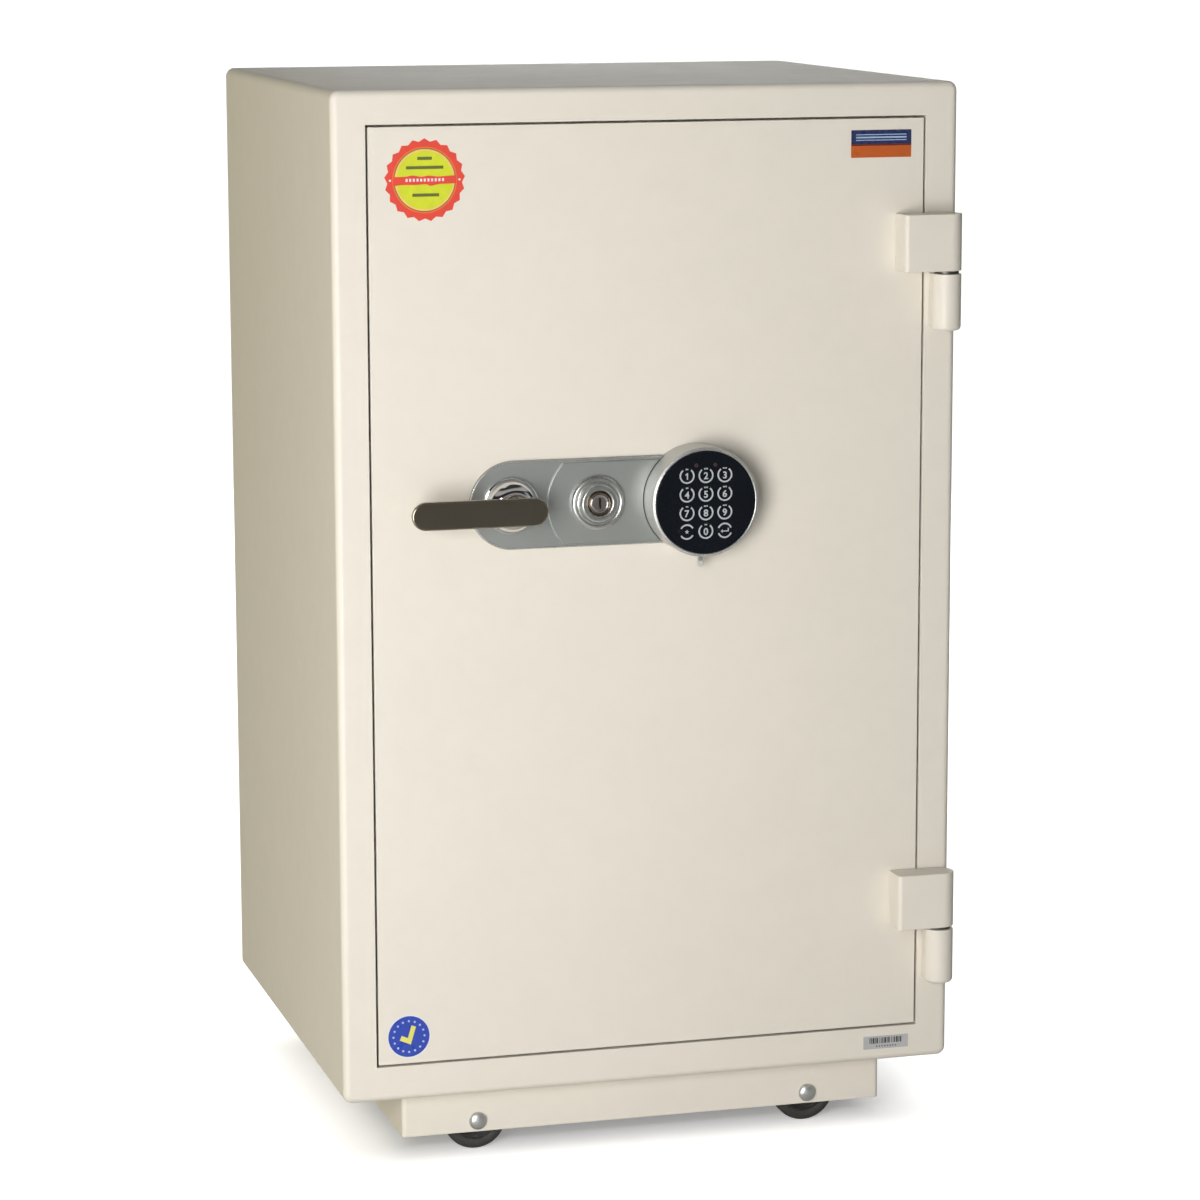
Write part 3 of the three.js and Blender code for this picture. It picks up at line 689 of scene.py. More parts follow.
@dataclass(frozen=True)
class Finish:
    """What a piece's surface is made of. Each kind adds its own nodes in shade."""

    name: str
    slot: str
    colour: Colour
    roughness: float

    def material(self) -> bpy.types.Material:
        """The finish as a material, made once.

        Returns:
            The material.
        """
        known = bpy.data.materials.get(self.name)
        if known:
            return known
        made = bpy.data.materials.new(self.name)
        made.use_nodes = True
        made.node_tree.nodes.clear()
        board = SurfaceBoard(made.node_tree)
        board.preset("Roughness", self.roughness)
        board.preset("Base Color", with_alpha(self.colour))
        board.add("ShaderNodeOutputMaterial", {"Surface": board.shader.outputs[0]})
        self.shade(board)
        made.diffuse_color = with_alpha(self.colour)
        return made

    def shade(self, board: SurfaceBoard) -> None:
        """Adds the nodes that make this finish. A plain finish adds none."""

    def tone(self, board: SurfaceBoard, dark: float, scale: float) -> bpy.types.NodeOutputs:
        """A slow change between the finish's colour and a darker one."""
        ends = {"Light": with_alpha(self.colour), "Dark": toned(self.colour, dark)}
        return board.effect(tone_drift(), **ends, Scale=scale)


@dataclass(frozen=True)
class SprayedPaint(Finish):
    """Powder coat or sprayed enamel on sheet steel."""

    drift: float = 0.955
    grain: float = 900.0
    relief: float = 0.12
    wear: float = 0.35
    dust: float = 0.25

    def shade(self, board: SurfaceBoard) -> None:
        """Two close tones, orange peel, rubbed edges and dust on top.

        Args:
            board: The board of the material.
        """
        tone = self.tone(board, self.drift, 2.2)
        edge_mask = board.value(edge_wear_and_highlight(), Width=0.0009, Cover=self.wear, Grain=48.0)
        dusty = board.value(settled_dust(), Cover=self.dust, Scale=26.0)
        rubbed = board.mix(edge_mask, tone["Color"], toned(self.colour, 0.62))
        final = board.mix(dusty, rubbed, PALE_DUST)
        board.colour(final)
        base = board.spread(tone["Value"], 0.0, 1.0, self.roughness - 0.04, self.roughness + 0.05)
        rough = board.math("ADD", base, board.math("MULTIPLY", dusty, 0.25), clamp=True)
        board.roughness(rough)
        height = board.value(paint_relief(), Grain=self.grain, Wave=2.5)
        board.bump(height, self.relief, 0.0006)


@dataclass(frozen=True)
class BrushedMetal(Finish):
    """Machined, drawn or plated metal with fine scratches."""

    spacing: tuple[float, float, float] = (60.0, 60.0, 2600.0)
    scratch: float = 0.12
    stain: float = 0.85

    def shade(self, board: SurfaceBoard) -> None:
        """Metal with scratches, darker stains and brighter rubbed edges.

        Args:
            board: The board of the material.
        """
        board.preset("Metallic", 1.0)
        tone = self.tone(board, self.stain, 24.0)
        edge_mask = board.value(edge_wear_and_highlight(), Width=0.0005, Cover=0.7, Grain=120.0)
        colour = board.mix(edge_mask, tone["Color"], toned(self.colour, 1.2))
        board.colour(colour)
        lines = board.value(brushing(), Spacing=self.spacing)
        rough = board.spread(lines, 0.25, 0.75, self.roughness * 0.7, self.roughness * 1.35)
        board.roughness(rough)
        board.bump(lines, self.scratch, 0.0002)


@dataclass(frozen=True)
class PolishedMetal(Finish):
    """Bright or dark chrome, with the smears of use."""

    smears: float = 0.5

    def shade(self, board: SurfaceBoard) -> None:
        """Mirror metal that is rougher where hands have touched it.

        Args:
            board: The board of the material.
        """
        board.preset("Metallic", 1.0)
        tone = self.tone(board, 0.93, 30.0)
        board.colour(tone["Color"])
        touched = board.value(handling(), Scale=70.0, Cover=self.smears)
        rough = board.spread(touched, 0.0, 1.0, self.roughness, self.roughness + 0.16)
        board.roughness(rough)
        height = board.value(paint_relief(), Grain=160.0, Wave=1.0)
        board.bump(height, 0.02, 0.0004)


@dataclass(frozen=True)
class MetallicPaint(Finish):
    """Silver paint with fine flakes in it."""

    flake: float = 5200.0

    def shade(self, board: SurfaceBoard) -> None:
        """Flakes that vary in brightness, under a thin clear layer, with edges painted much lighter: rubbed
        wear and a painted highlight.

        Args:
            board: The board of the material.
        """
        board.preset("Metallic", 0.62)
        board.preset("Coat Weight", 0.15)
        board.preset("Coat Roughness", 0.25)
        tone = self.tone(board, 0.94, 12.0)
        place = board.place()
        flakes = board.add("ShaderNodeTexVoronoi", {"Vector": place, "Scale": self.flake})
        sparkle = board.add("ShaderNodeSeparateColor", {0: flakes.outputs["Color"]}).outputs[0]
        lit = board.math("MULTIPLY", board.spread(sparkle, 0.0, 1.0), 0.22)
        colour = board.mix(lit, tone["Color"], toned(self.colour, 1.5))
        # edges lightened almost twice over: a painted highlight along the edges, on top of rubbed wear
        edge_mask = board.value(edge_wear_and_highlight(), Width=0.0011, Cover=1.6, Grain=30.0)
        board.colour(board.mix(edge_mask, colour, toned(self.colour, 1.9)))
        rough = board.spread(sparkle, 0.0, 1.0, self.roughness - 0.05, self.roughness + 0.07)
        board.roughness(rough)
        board.bump(sparkle, 0.03, 0.0001)


@dataclass(frozen=True)
class GlossPanel(Finish):
    """Glossy acrylic or glass-like plastic over a dark ground."""

    smears: float = 0.35

    def shade(self, board: SurfaceBoard) -> None:
        """A clear layer over the colour, with finger marks.

        Args:
            board: The board of the material.
        """
        board.preset("Coat Weight", 0.15)
        board.preset("Coat Roughness", 0.05)
        board.preset("Specular IOR Level", 0.2)
        tone = self.tone(board, 0.7, 16.0)
        dusty = board.value(settled_dust(), Cover=0.2, Scale=160.0)
        final = board.mix(dusty, tone["Color"], GREY_DUST)
        board.colour(final)
        touched = board.value(handling(), Scale=85.0, Cover=self.smears)
        rough = board.spread(touched, 0.0, 1.0, self.roughness, self.roughness + 0.22)
        board.roughness(rough)


@dataclass(frozen=True)
class MouldedPart(Finish):
    """Moulded plastic or rubber with a fine eroded texture."""

    grain: float = 1800.0
    relief: float = 0.25
    scuff: float = 0.35
    scuff_tone: float = 2.4

    def shade(self, board: SurfaceBoard) -> None:
        """Grain, paler scuffs along edges and dust on top.

        Args:
            board: The board of the material.
        """
        tone = self.tone(board, 0.8, 30.0)
        edge_mask = board.value(edge_wear_and_highlight(), Width=0.0008, Cover=self.scuff, Grain=150.0)
        dusty = board.value(settled_dust(), Cover=0.3, Scale=90.0)
        rubbed = board.mix(edge_mask, tone["Color"], toned(self.colour, self.scuff_tone))
        board.colour(board.mix(dusty, rubbed, DARK_DUST))
        rough = board.spread(tone["Value"], 0.0, 1.0, self.roughness - 0.06, self.roughness + 0.06)
        board.roughness(rough)
        height = board.value(paint_relief(), Grain=self.grain, Wave=0.6)
        board.bump(height, self.relief, 0.0002)


@dataclass(frozen=True)
class CastFilling(Finish):
    """Light mineral filling, with grains and small holes."""

    def shade(self, board: SurfaceBoard) -> None:
        """Grains of different tones over a pitted surface.

        Args:
            board: The board of the material.
        """
        place = board.place()
        grains = board.add("ShaderNodeTexVoronoi", {"Vector": place, "Scale": 260.0})
        speck = board.add("ShaderNodeSeparateColor", {0: grains.outputs["Color"]}).outputs[0]
        colour = board.mix(speck, toned(self.colour, 0.72), toned(self.colour, 1.15))
        board.colour(colour)
        pits = board.noise(place, 320.0, 6.0, 0.7)
        height = board.math("ADD", board.math("MULTIPLY", grains.outputs["Distance"], 0.6), pits)
        board.bump(height, 0.7, 0.0012)


@dataclass(frozen=True)
class CircuitBoard(Finish):
    """Green solder mask with copper tracks under it."""

    def shade(self, board: SurfaceBoard) -> None:
        """Tracks that run square to each other, and a glossy mask.

        Args:
            board: The board of the material.
        """
        place = board.place()
        inputs = {"Vector": place, "Scale": 420.0}
        tracks = board.add("ShaderNodeTexVoronoi", inputs, distance="MANHATTAN").outputs["Distance"]
        line = board.math("PINGPONG", board.math("MULTIPLY", tracks, 4.0), 0.5)
        colour = board.mix(board.spread(line, 0.18, 0.26), toned(self.colour, 1.5), with_alpha(self.colour))
        board.colour(colour)
        board.bump(board.spread(line, 0.15, 0.3), 0.2, 0.0001)


@dataclass(frozen=True)
class PrintedFilm(Finish):
    """Ink on thin adhesive film."""

    def shade(self, board: SurfaceBoard) -> None:
        """Slightly uneven ink under a satin film.

        Args:
            board: The board of the material.
        """
        board.preset("Coat Weight", 0.3)
        board.preset("Coat Roughness", 0.2)
        tone = self.tone(board, 0.9, 90.0)
        edge_mask = board.value(edge_wear_and_highlight(), Width=0.0004, Cover=0.12, Grain=220.0)
        final = board.mix(edge_mask, tone["Color"], toned(self.colour, 0.8))
        board.colour(final)
        rough = board.spread(tone["Value"], 0.0, 1.0, self.roughness - 0.05, self.roughness + 0.08)
        board.roughness(rough)
        height = board.value(paint_relief(), Grain=1400.0, Wave=0.4)
        board.bump(height, 0.04, 0.0001)


IVORY = SprayedPaint("ivory_powder_coat", "ivory_paint", (0.80, 0.75, 0.66), 0.46)
LINING = SprayedPaint("lining_enamel", "liner_paint", (0.66, 0.635, 0.58), 0.50, relief=0.16, dust=0.15)
FILLING = CastFilling("mineral_filling", "fire_filling", (0.56, 0.53, 0.46), 0.95)
OILED_STEEL = BrushedMetal("oiled_steel", "bare_steel", (0.15, 0.145, 0.135), 0.45)
STEEL = BrushedMetal("machined_steel", "bare_steel", (0.50, 0.49, 0.47), 0.34)
ZINC = BrushedMetal("bright_zinc", "zinc_plate", (0.78, 0.79, 0.78), 0.38, (500.0, 500.0, 500.0), 0.06, 0.70)
SILVER = MetallicPaint("silver_paint_coat", "silver_paint", (0.37, 0.385, 0.372), 0.40)
BRIGHT_SILVER = MetallicPaint("bright_silver_coat", "silver_paint", (0.50, 0.505, 0.485), 0.36)
LOCK_RING = BrushedMetal("satin_lock_ring", "silver_paint", (0.68, 0.69, 0.675), 0.26,
                         (2600.0, 2600.0, 2600.0), 0.015, 0.9)
SATIN_RING = BrushedMetal("satin_ring", "silver_paint", (0.86, 0.85, 0.82), 0.30, (900.0, 900.0, 900.0), 0.04,
                          0.95)
CHROME = PolishedMetal("bright_chrome_plate", "bright_chrome", (0.80, 0.79, 0.78), 0.05)
WARM_CHROME = PolishedMetal("nickel_plate", "bright_chrome", (0.76, 0.70, 0.67), 0.13)
DARK_CHROME = PolishedMetal("dark_chrome_plate", "bright_chrome", (0.39, 0.34, 0.27), 0.15)
BLACK_PANEL = GlossPanel("black_gloss_panel", "black_gloss", (0.006, 0.008, 0.012), 0.07)
KEY_PRINT = PrintedFilm("pale_key_print", "black_gloss", (0.50, 0.52, 0.54), 0.42)
LAMP_LENS = GlossPanel("smoked_lamp_lens", "black_gloss", (0.085, 0.035, 0.030), 0.18)
BLACK_MOULD = MouldedPart("moulded_black_plastic", "black_plastic", (0.022, 0.022, 0.024), 0.48)
# pale moulding for the battery tab's tip, its light colour a painted highlight
PALE_HIGHLIGHT_MOULD = MouldedPart("pale_plastic_painted_highlight", "black_plastic", (0.62, 0.60, 0.54), 0.40, scuff_tone=0.8)
BOARD = CircuitBoard("solder_mask", "board_green", (0.02, 0.10, 0.045), 0.35)
TYRE = MouldedPart("tyre_rubber", "wheel_rubber", (0.040, 0.040, 0.036), 0.66, 700.0, 0.4, 0.5, 2.0)
HUB = MouldedPart("wheel_hub_plastic", "wheel_rubber", (0.018, 0.018, 0.017), 0.55, 1200.0, 0.3)
SEAL_RUBBER = MouldedPart("seal_strip_rubber", "seal_rubber", (0.020, 0.020, 0.020), 0.72, 1500.0, 0.35, 0.2)


class Ink:
    """The printed colours of the stickers."""

    RED = PrintedFilm("seal_red_ink", "ivory_paint", (0.80, 0.075, 0.050), 0.34)
    ORANGE = PrintedFilm("seal_orange_ink", "ivory_paint", (0.86, 0.18, 0.045), 0.34)
    YELLOW = PrintedFilm("seal_yellow_ink", "ivory_paint", (0.66, 0.72, 0.035), 0.34)
    LEMON = PrintedFilm("lemon_ink", "ivory_paint", (0.80, 0.76, 0.16), 0.34)
    CREAM = PrintedFilm("cream_ink", "ivory_paint", (0.90, 0.58, 0.20), 0.36)
    OLIVE = PrintedFilm("olive_ink", "ivory_paint", (0.13, 0.15, 0.035), 0.36)
    WHITE = PrintedFilm("white_ink", "ivory_paint", (0.82, 0.83, 0.86), 0.36)
    NAVY = PrintedFilm("navy_ink", "ivory_paint", (0.022, 0.035, 0.115), 0.26)
    RUST = PrintedFilm("rust_ink", "ivory_paint", (0.56, 0.115, 0.020), 0.30)
    MAROON = PrintedFilm("maroon_ink", "ivory_paint", (0.15, 0.028, 0.022), 0.30)
    BLUE = PrintedFilm("blue_ink", "ivory_paint", (0.028, 0.065, 0.44), 0.30)
    PALE_BLUE = PrintedFilm("pale_blue_ink", "ivory_paint", (0.42, 0.56, 0.80), 0.34)
    GREY = PrintedFilm("grey_film", "ivory_paint", (0.50, 0.50, 0.50), 0.30)
    BLACK = PrintedFilm("black_ink", "ivory_paint", (0.025, 0.025, 0.030), 0.40)


# ---------------------------------------------------------------- fitting pieces to the frame


@dataclass(frozen=True)
class Span:
    """Lowest and highest corner of a CAD node at rest."""

    low: Vector
    high: Vector

    @classmethod
    def of(cls, node: str) -> "Span":
        """The span of a node of the frame."""
        return cls(*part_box(node))

    @property
    def centre(self) -> Vector:
        """The middle of the span."""
        return (self.low + self.high) / 2

    @property
    def spot(self) -> Point:
        """X and Z of the middle."""
        return (self.centre.x, self.centre.z)

    @property
    def radius(self) -> float:
        """Half of its height."""
        return (self.high.z - self.low.z) / 2

    def inset(self, inset: float, radius: float, steps: int = 8) -> list[Point]:
        """Its outline from the front, set in by a distance, with round corners."""
        x0, x1 = self.low.x + inset, self.high.x - inset
        return rounded_rect(x0, x1, self.low.z + inset, self.high.z - inset, radius, steps)


def smooth(piece: Piece, angle: float = 32) -> None:
    """Shades the rounds of a piece smoothly, and keeps its flat faces flat.

    Args:
        piece: The piece.
        angle: The sharpest turn that is still round, in degrees.
    """
    piece.data.shade_smooth()
    piece.data.set_sharp_from_angle(angle=math.radians(angle))
    even = piece.modifiers.new("even_shading", "WEIGHTED_NORMAL")
    even.keep_sharp = True


def dress(piece: Piece, finish: Finish) -> None:
    """Gives a piece its finish in every material slot.

    Args:
        piece: The piece.
        finish: Its finish.
    """
    piece.data.materials.clear()
    piece.data.materials.append(finish.material())


def dress_nodes(finish: Finish, *nodes: str) -> None:
    """Gives CAD nodes that stay visible their finish.

    Args:
        finish: The finish for all of them.
        nodes: Names of the nodes.
    """
    for node in nodes:
        piece = frame["nodes"][node]
        for slot in piece.material_slots:
            slot.material = finish.material()
        LOG.info("%s keeps its CAD shape, finished in %s", node, finish.name)


def install(piece: Piece, body: str, finish: Finish, *stands_for: str) -> Piece:
    """Finishes a piece and fixes it to a CAD body.

    Args:
        piece: The piece, in its place.
        body: The body that it moves with.
        finish: Its finish.
        stands_for: CAD nodes that it is shown in place of.

    Returns:
        The same piece.
    """
    smooth(piece)
    dress(piece, finish)
    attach(piece, body)
    if stands_for:
        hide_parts(*stands_for)
    LOG.info("%s rides on %s", piece.name, body)
    return piece


# ---------------------------------------------------------------- cabinet


@dataclass
class Cabinet:
    """The painted case, its door frame, its lining and its shelves."""

    sheet: float = 3 * MM
    edge: float = 6 * MM
    corner: float = 8 * MM
    reveal: float = 2.3 * MM
    cut_edge: float = 0.4 * MM
    shelf_sheet: float = 2 * MM
    shelf_lip: float = 14 * MM

    def build(self) -> None:
        """Builds every piece of the cabinet that doesn't move."""
        self.shell()
        dress_nodes(IVORY, "back_panel", "door_jamb")
        dress_nodes(FILLING, "cabinet_filling")
        dress_nodes(LINING, "inner_liner")
        for level in ("lower", "upper"):
            self.shelf(level)

    def shell(self) -> None:
        """The wrapped sheet with rounded edges and the stepped mouth of the door."""
        case = Span.of("outer_shell")
        door = Span.of("door_skin")

        def around(inset: float) -> list[Point]:
            """The outline of the case, set in by a distance."""
            return case.inset(inset, max(self.corner - inset, 1.5 * MM))

        def mouth(grow: float) -> list[Point]:
            """The opening round the door, widened by a distance."""
            return door.inset(-(self.reveal + grow), 0.9 * MM)

        front, back = case.low.y, case.high.y
        rings = [FRONT.ring(around(self.sheet), back), FRONT.ring(around(self.cut_edge), back)]
        rings.append(FRONT.ring(around(0), back - self.cut_edge))
        for inset, depth in arc((self.edge, self.edge), self.edge, 180, 270, 8):
            rings.append(FRONT.ring(around(inset), front + depth))
        for grow, depth in arc((self.cut_edge, self.cut_edge), self.cut_edge, 270, 180, 4):
            rings.append(FRONT.ring(mouth(grow), front + depth))
        rings.append(FRONT.ring(mouth(0), front + self.sheet))
        rings.append(FRONT.ring(around(self.sheet), front + self.sheet))
        install(loft("cabinet_shell", rings), "cabinet", IVORY, "outer_shell")

    def shelf(self, level: str) -> None:
        """One folded shelf with a round front lip.

        Args:
            level: Which of them, lower or upper.
        """
        node = Span.of(f"shelf_{level}")
        t = self.shelf_sheet
        y0, y1 = node.low.y, node.high.y
        z0, z1 = node.high.z - self.shelf_lip, node.high.z
        section = [(y1, z1), (y0, z1), (y0, z0), (y0 + t, z0), (y0 + t, z1 - t), (y1, z1 - t)]
        rounded = soften(section, t * 0.9)
        made = prism(f"{level}_shelf_tray", rounded, SIDE, node.low.x, node.high.x)
        install(made, "cabinet", LINING, f"shelf_{level}")


@dataclass
class RunningGear:
    """The plinth under the case, with its four wheels and their bolts."""

    sheet: float = 3 * MM
    corner: float = 4 * MM
    wall_rise: float = 4 * MM
    bolt_hole: float = 4.3 * MM
    tyre_edge: float = 3.5 * MM
    hub_radius: float = 19 * MM
    hub_recess: float = 2.6 * MM
    bore: float = 4.4 * MM
    shank: float = 4 * MM
    head_height: float = 4.6 * MM
    nut_radius: float = 7 * MM
    washer: float = 1.2 * MM

    def build(self) -> None:
        """Builds the plinth, then each wheel with its bolt."""
        self.plinth()
        for end in ("front", "rear"):
            for hand in ("left", "right"):
                self.wheel(end, hand)
                self.axle(end, hand)

    def plinth(self) -> None:
        """The skirt with rolled corners, and the two cross walls that hold the bolts."""
        span = Span.of("plinth")
        x0, x1, y0, y1 = span.low.x, span.high.x, span.low.y, span.high.y
        z0, z1 = span.low.z, span.high.z
        t = self.sheet

        def skirt(inset: float, height: float) -> list[Vector]:
            """The outline of the skirt, set in by a distance, at one height."""
            radius = max(self.corner - inset, 1 * MM)
            return LEVEL.ring(rounded_rect(x0 + inset, x1 - inset, y0 + inset, y1 - inset, radius), height)

        section = soften([(0, z0), (0, z1), (t, z1), (t, z0)], 0.7 * MM)
        made = loft("skirt", [skirt(inset, height) for inset, height in section])
        holes = []
        walls = []
        for rear in (False, True):
            bolt = Span.of("axle_bolt_rear_left" if rear else "axle_bolt_front_left")
            nut = self.nut_seat(bolt, rear)
            near, far = (nut - t, nut) if not rear else (nut, nut + t)
            outline = block(x0 + t, x1 - t, z0 + self.wall_rise, z1)
            walls.append(prism("wall", outline, FRONT, near, far, 0.4 * MM))
        for hand in ("left", "right"):
            bolt = Span.of(f"axle_bolt_front_{hand}").spot
            holes.append(round_cutter(FRONT, bolt, self.bolt_hole, y0 - t, y1 + t))
        apply_tools(made, walls, "UNION")
        apply_tools(made, holes, "DIFFERENCE")
        made.name = "plinth_skirt"
        install(made, "cabinet", IVORY, "plinth")

    def nut_seat(self, bolt: Span, rear: bool) -> float:
        """Y of the face that the nut of a bolt sits on, which is the inner side of a cross wall.

        Args:
            bolt: Where the bolt is.
            rear: Whether it holds a rear wheel.

        Returns:
            The place along Y.
        """
        nut_height = 4.5 * MM
        gap = 0.3 * MM
        return bolt.low.y + nut_height + gap if rear else bolt.high.y - nut_height - gap

    def wheel(self, end: str, hand: str) -> None:
        """One wheel: a rubber tyre on a plastic hub with a recessed web.

        Args:
            end: The end of the case, front or rear.
            hand: The side, left or right.
        """
        body = f"wheel_{end}_{hand}"
        span = Span.of(body)
        centre = span.spot
        radius = span.radius
        y0, y1 = span.low.y, span.high.y
        edge = self.tyre_edge
        tread = [
            (self.hub_radius, y0 + 0.8 * MM), (radius - edge - 1.5 * MM, y0),
            (radius - 1.2 * MM, y0 + 1.4 * MM),
            (radius, y0 + edge), (radius, y1 - edge), (radius - 1.2 * MM, y1 - 1.4 * MM),
            (radius - edge - 1.5 * MM, y1), (self.hub_radius, y1 - 0.8 * MM),
        ]
        tyre = revolve(f"{end}_{hand}_tyre", soften(tread, 1.2 * MM), FRONT, centre, 96)
        install(tyre, body, TYRE, body)
        rim = self.hub_radius - 0.05 * MM
        web = 12 * MM
        recess = self.hub_recess
        section = [
            (self.bore, y0 + 0.6 * MM), (7.5 * MM, y0 + 0.6 * MM), (8.2 * MM, y0 + recess),
            (web, y0 + recess + 1 * MM),
            (rim - 2.6 * MM, y0 + recess), (rim - 2 * MM, y0 + 0.9 * MM), (rim, y0 + 0.9 * MM),
            (rim, y1 - 0.9 * MM), (rim - 2 * MM, y1 - 0.9 * MM), (rim - 2.6 * MM, y1 - recess),
            (web, y1 - recess - 1 * MM), (8.2 * MM, y1 - recess), (7.5 * MM, y1 - 0.6 * MM),
            (self.bore, y1 - 0.6 * MM),
        ]
        hub = revolve(f"{end}_{hand}_hub", soften(section, 0.5 * MM), FRONT, centre, 72)
        install(hub, body, HUB)

    def axle(self, end: str, hand: str) -> None:
        """A round-head bolt, with a washer and a hexagon nut behind the cross wall.

        Args:
            end: The end of the case, front or rear.
            hand: The side, left or right.
        """
        node = f"axle_bolt_{end}_{hand}"
        span = Span.of(node)
        rear = end == "rear"
        centre = span.spot
        head = span.radius
        outer = span.high.y if rear else span.low.y
        inward = -1 if rear else 1
        tip = span.low.y if rear else span.high.y
        seat = outer + inward * self.head_height
        dome = [(head * math.sin(math.radians(a)),
                 outer + inward * self.head_height * 0.86 * (1 - math.cos(math.radians(a))))
                for a in range(0, 91, 10)]
        profile = dome + [(head, seat), (self.shank, seat), (self.shank, tip - inward * 0.4 * MM), (0.0, tip)]
        install(revolve(f"{end}_{hand}_axle", profile, FRONT, centre, 48), "cabinet", ZINC, node)
        nut = self.nut_seat(span, rear)
        low, high = sorted((nut + inward * self.washer, tip - inward * 0.3 * MM))
        nut_piece = prism(f"{end}_{hand}_nut", hexagon(centre, self.nut_radius), FRONT, low, high,
                          0.5 * MM)
        apply_tools(nut_piece,
                    [round_cutter(FRONT, centre, self.shank + 0.05 * MM, low - MM, high + MM)], "DIFFERENCE")
        install(nut_piece, "cabinet", ZINC)
        inner, outside = self.shank + 0.2 * MM, self.nut_radius + 1 * MM
        low, high = sorted((nut + inward * 0.02 * MM, nut + inward * (self.washer - 0.05 * MM)))
        ring = soften([(inner, low), (outside, low), (outside, high), (inner, high)], 0.25 * MM)
        install(revolve(f"{end}_{hand}_washer", ring, FRONT, centre, 48), "cabinet", ZINC)


@dataclass
class Hinges:
    """Two outside hinges: a leaf on the door over a knuckle on the case, with a pin."""

    radius: float = 12.7 * MM
    nose: float = 3.6 * MM
    leaf_edge: float = 1.6 * MM
    bore: float = 6.3 * MM
    leaf_bore: float = 38.5 * MM
    knuckle_bore: float = 30 * MM
    pin: float = 6 * MM
    collar: float = 10.6 * MM

    def build(self) -> None:
        """Builds both hinges."""
        for level in ("lower", "upper"):
            self.leaf(level)
            self.knuckle(level)
            self.pivot(level)

    def axis(self, level: str) -> Point:
        """X and Y of the hinge line."""
        pin = Span.of(f"hinge_pin_{level}").centre
        return (pin.x, pin.y)

    def leaf(self, level: str) -> None:
        """The thick leaf on the door's face, with a rounded nose and a full-round end.

        Args:
            level: Which of them, lower or upper.
        """
        span = Span.of(f"hinge_leaf_{level}")
        x, y = self.axis(level)
        door = Span.of("door_skin")
        back = door.low.y - 0.3 * MM
        step = door.high.x - 1 * MM
        outline = [(step, back), (span.low.x, back)]
        outline += arc((span.low.x + self.nose, y - self.radius + self.nose), self.nose, 180, 270, 12)
        outline += arc((x, y), self.radius, -90, 90, 32)
        outline += [(step, y + self.radius)]
        made = prism(f"{level}_hinge_leaf", outline, LEVEL, span.low.z, span.high.z)
        self.round_rims(made)
        bore = round_cutter(LEVEL, (x, y), self.bore, span.low.z - CLEAR, span.low.z + self.leaf_bore)
        apply_tools(made, [bore], "DIFFERENCE")
        install(made, "door", IVORY, f"hinge_leaf_{level}")

    def round_rims(self, piece: Piece) -> None:
        """Rounds the upper and lower rim of a leaf, where its outline turns.

        Args:
            piece: The leaf.
        """
        mesh = bmesh.new()
        mesh.from_mesh(piece.data)
        rims = [e for e in mesh.edges if abs(e.verts[0].co.z - e.verts[1].co.z) < 1e-6]
        bmesh.ops.bevel(
            mesh, geom=rims, offset=self.leaf_edge, offset_type="OFFSET", segments=4, profile=0.5,
            affect="EDGES", clamp_overlap=True)
        mesh.to_mesh(piece.data)
        mesh.free()

    def knuckle(self, level: str) -> None:
        """The barrel on the case, with a domed lower end and a foot.

        Args:
            level: Which of them, lower or upper.
        """
        span = Span.of(f"hinge_knuckle_{level}")
        x, y = self.axis(level)
        z0, z1 = span.low.z, span.high.z
        r = self.radius
        profile = [(0.0, z0)] + arc((r - 4 * MM, z0 + 4 * MM), 4 * MM, -90, 0, 8)
        profile += arc((r - 0.8 * MM, z1 - 0.8 * MM), 0.8 * MM, 0, 90, 4)
        floor = z1 - self.knuckle_bore
        profile += [(self.bore, z1), (self.bore, floor), (0.0, floor)]
        barrel = revolve("barrel", profile, LEVEL, (x, y), 72)
        case = Span.of("outer_shell")
        wall = case.low.y - 0.3 * MM
        inset = 1.6 * MM
        outline = block(x - r + inset, x + r - inset - 0.5 * MM, y + 1 * MM, wall)
        foot = prism("foot", outline, LEVEL, z0 + 3 * MM, z1 - 0.5 * MM, 0.7 * MM)
        keep_bore = round_cutter(LEVEL, (x, y), self.bore, floor, z1 + CLEAR)
        apply_tools(barrel, [foot], "UNION")
        apply_tools(barrel, [keep_bore], "DIFFERENCE")
        barrel.name = f"{level}_hinge_barrel"
        install(barrel, "cabinet", IVORY, f"hinge_knuckle_{level}")

    def pivot(self, level: str) -> None:
        """The steel pin with the collar that shows between leaf and knuckle.

        Args:
            level: Which of them, lower or upper.
        """
        span = Span.of(f"hinge_pin_{level}")
        leaf = Span.of(f"hinge_leaf_{level}")
        knuckle = Span.of(f"hinge_knuckle_{level}")
        low, high = knuckle.high.z + 0.3 * MM, leaf.low.z - 0.3 * MM
        profile = [
            (0.0, span.low.z), (self.pin, span.low.z), (self.pin, low), (self.collar, low),
            (self.collar, high), (self.pin, high), (self.pin, span.high.z), (0.0, span.high.z),
        ]
        made = revolve(f"{level}_hinge_pivot", soften(profile, 0.4 * MM, closed=False), LEVEL,
                       self.axis(level), 48)
        install(made, "cabinet", OILED_STEEL, f"hinge_pin_{level}")


# ---------------------------------------------------------------- door


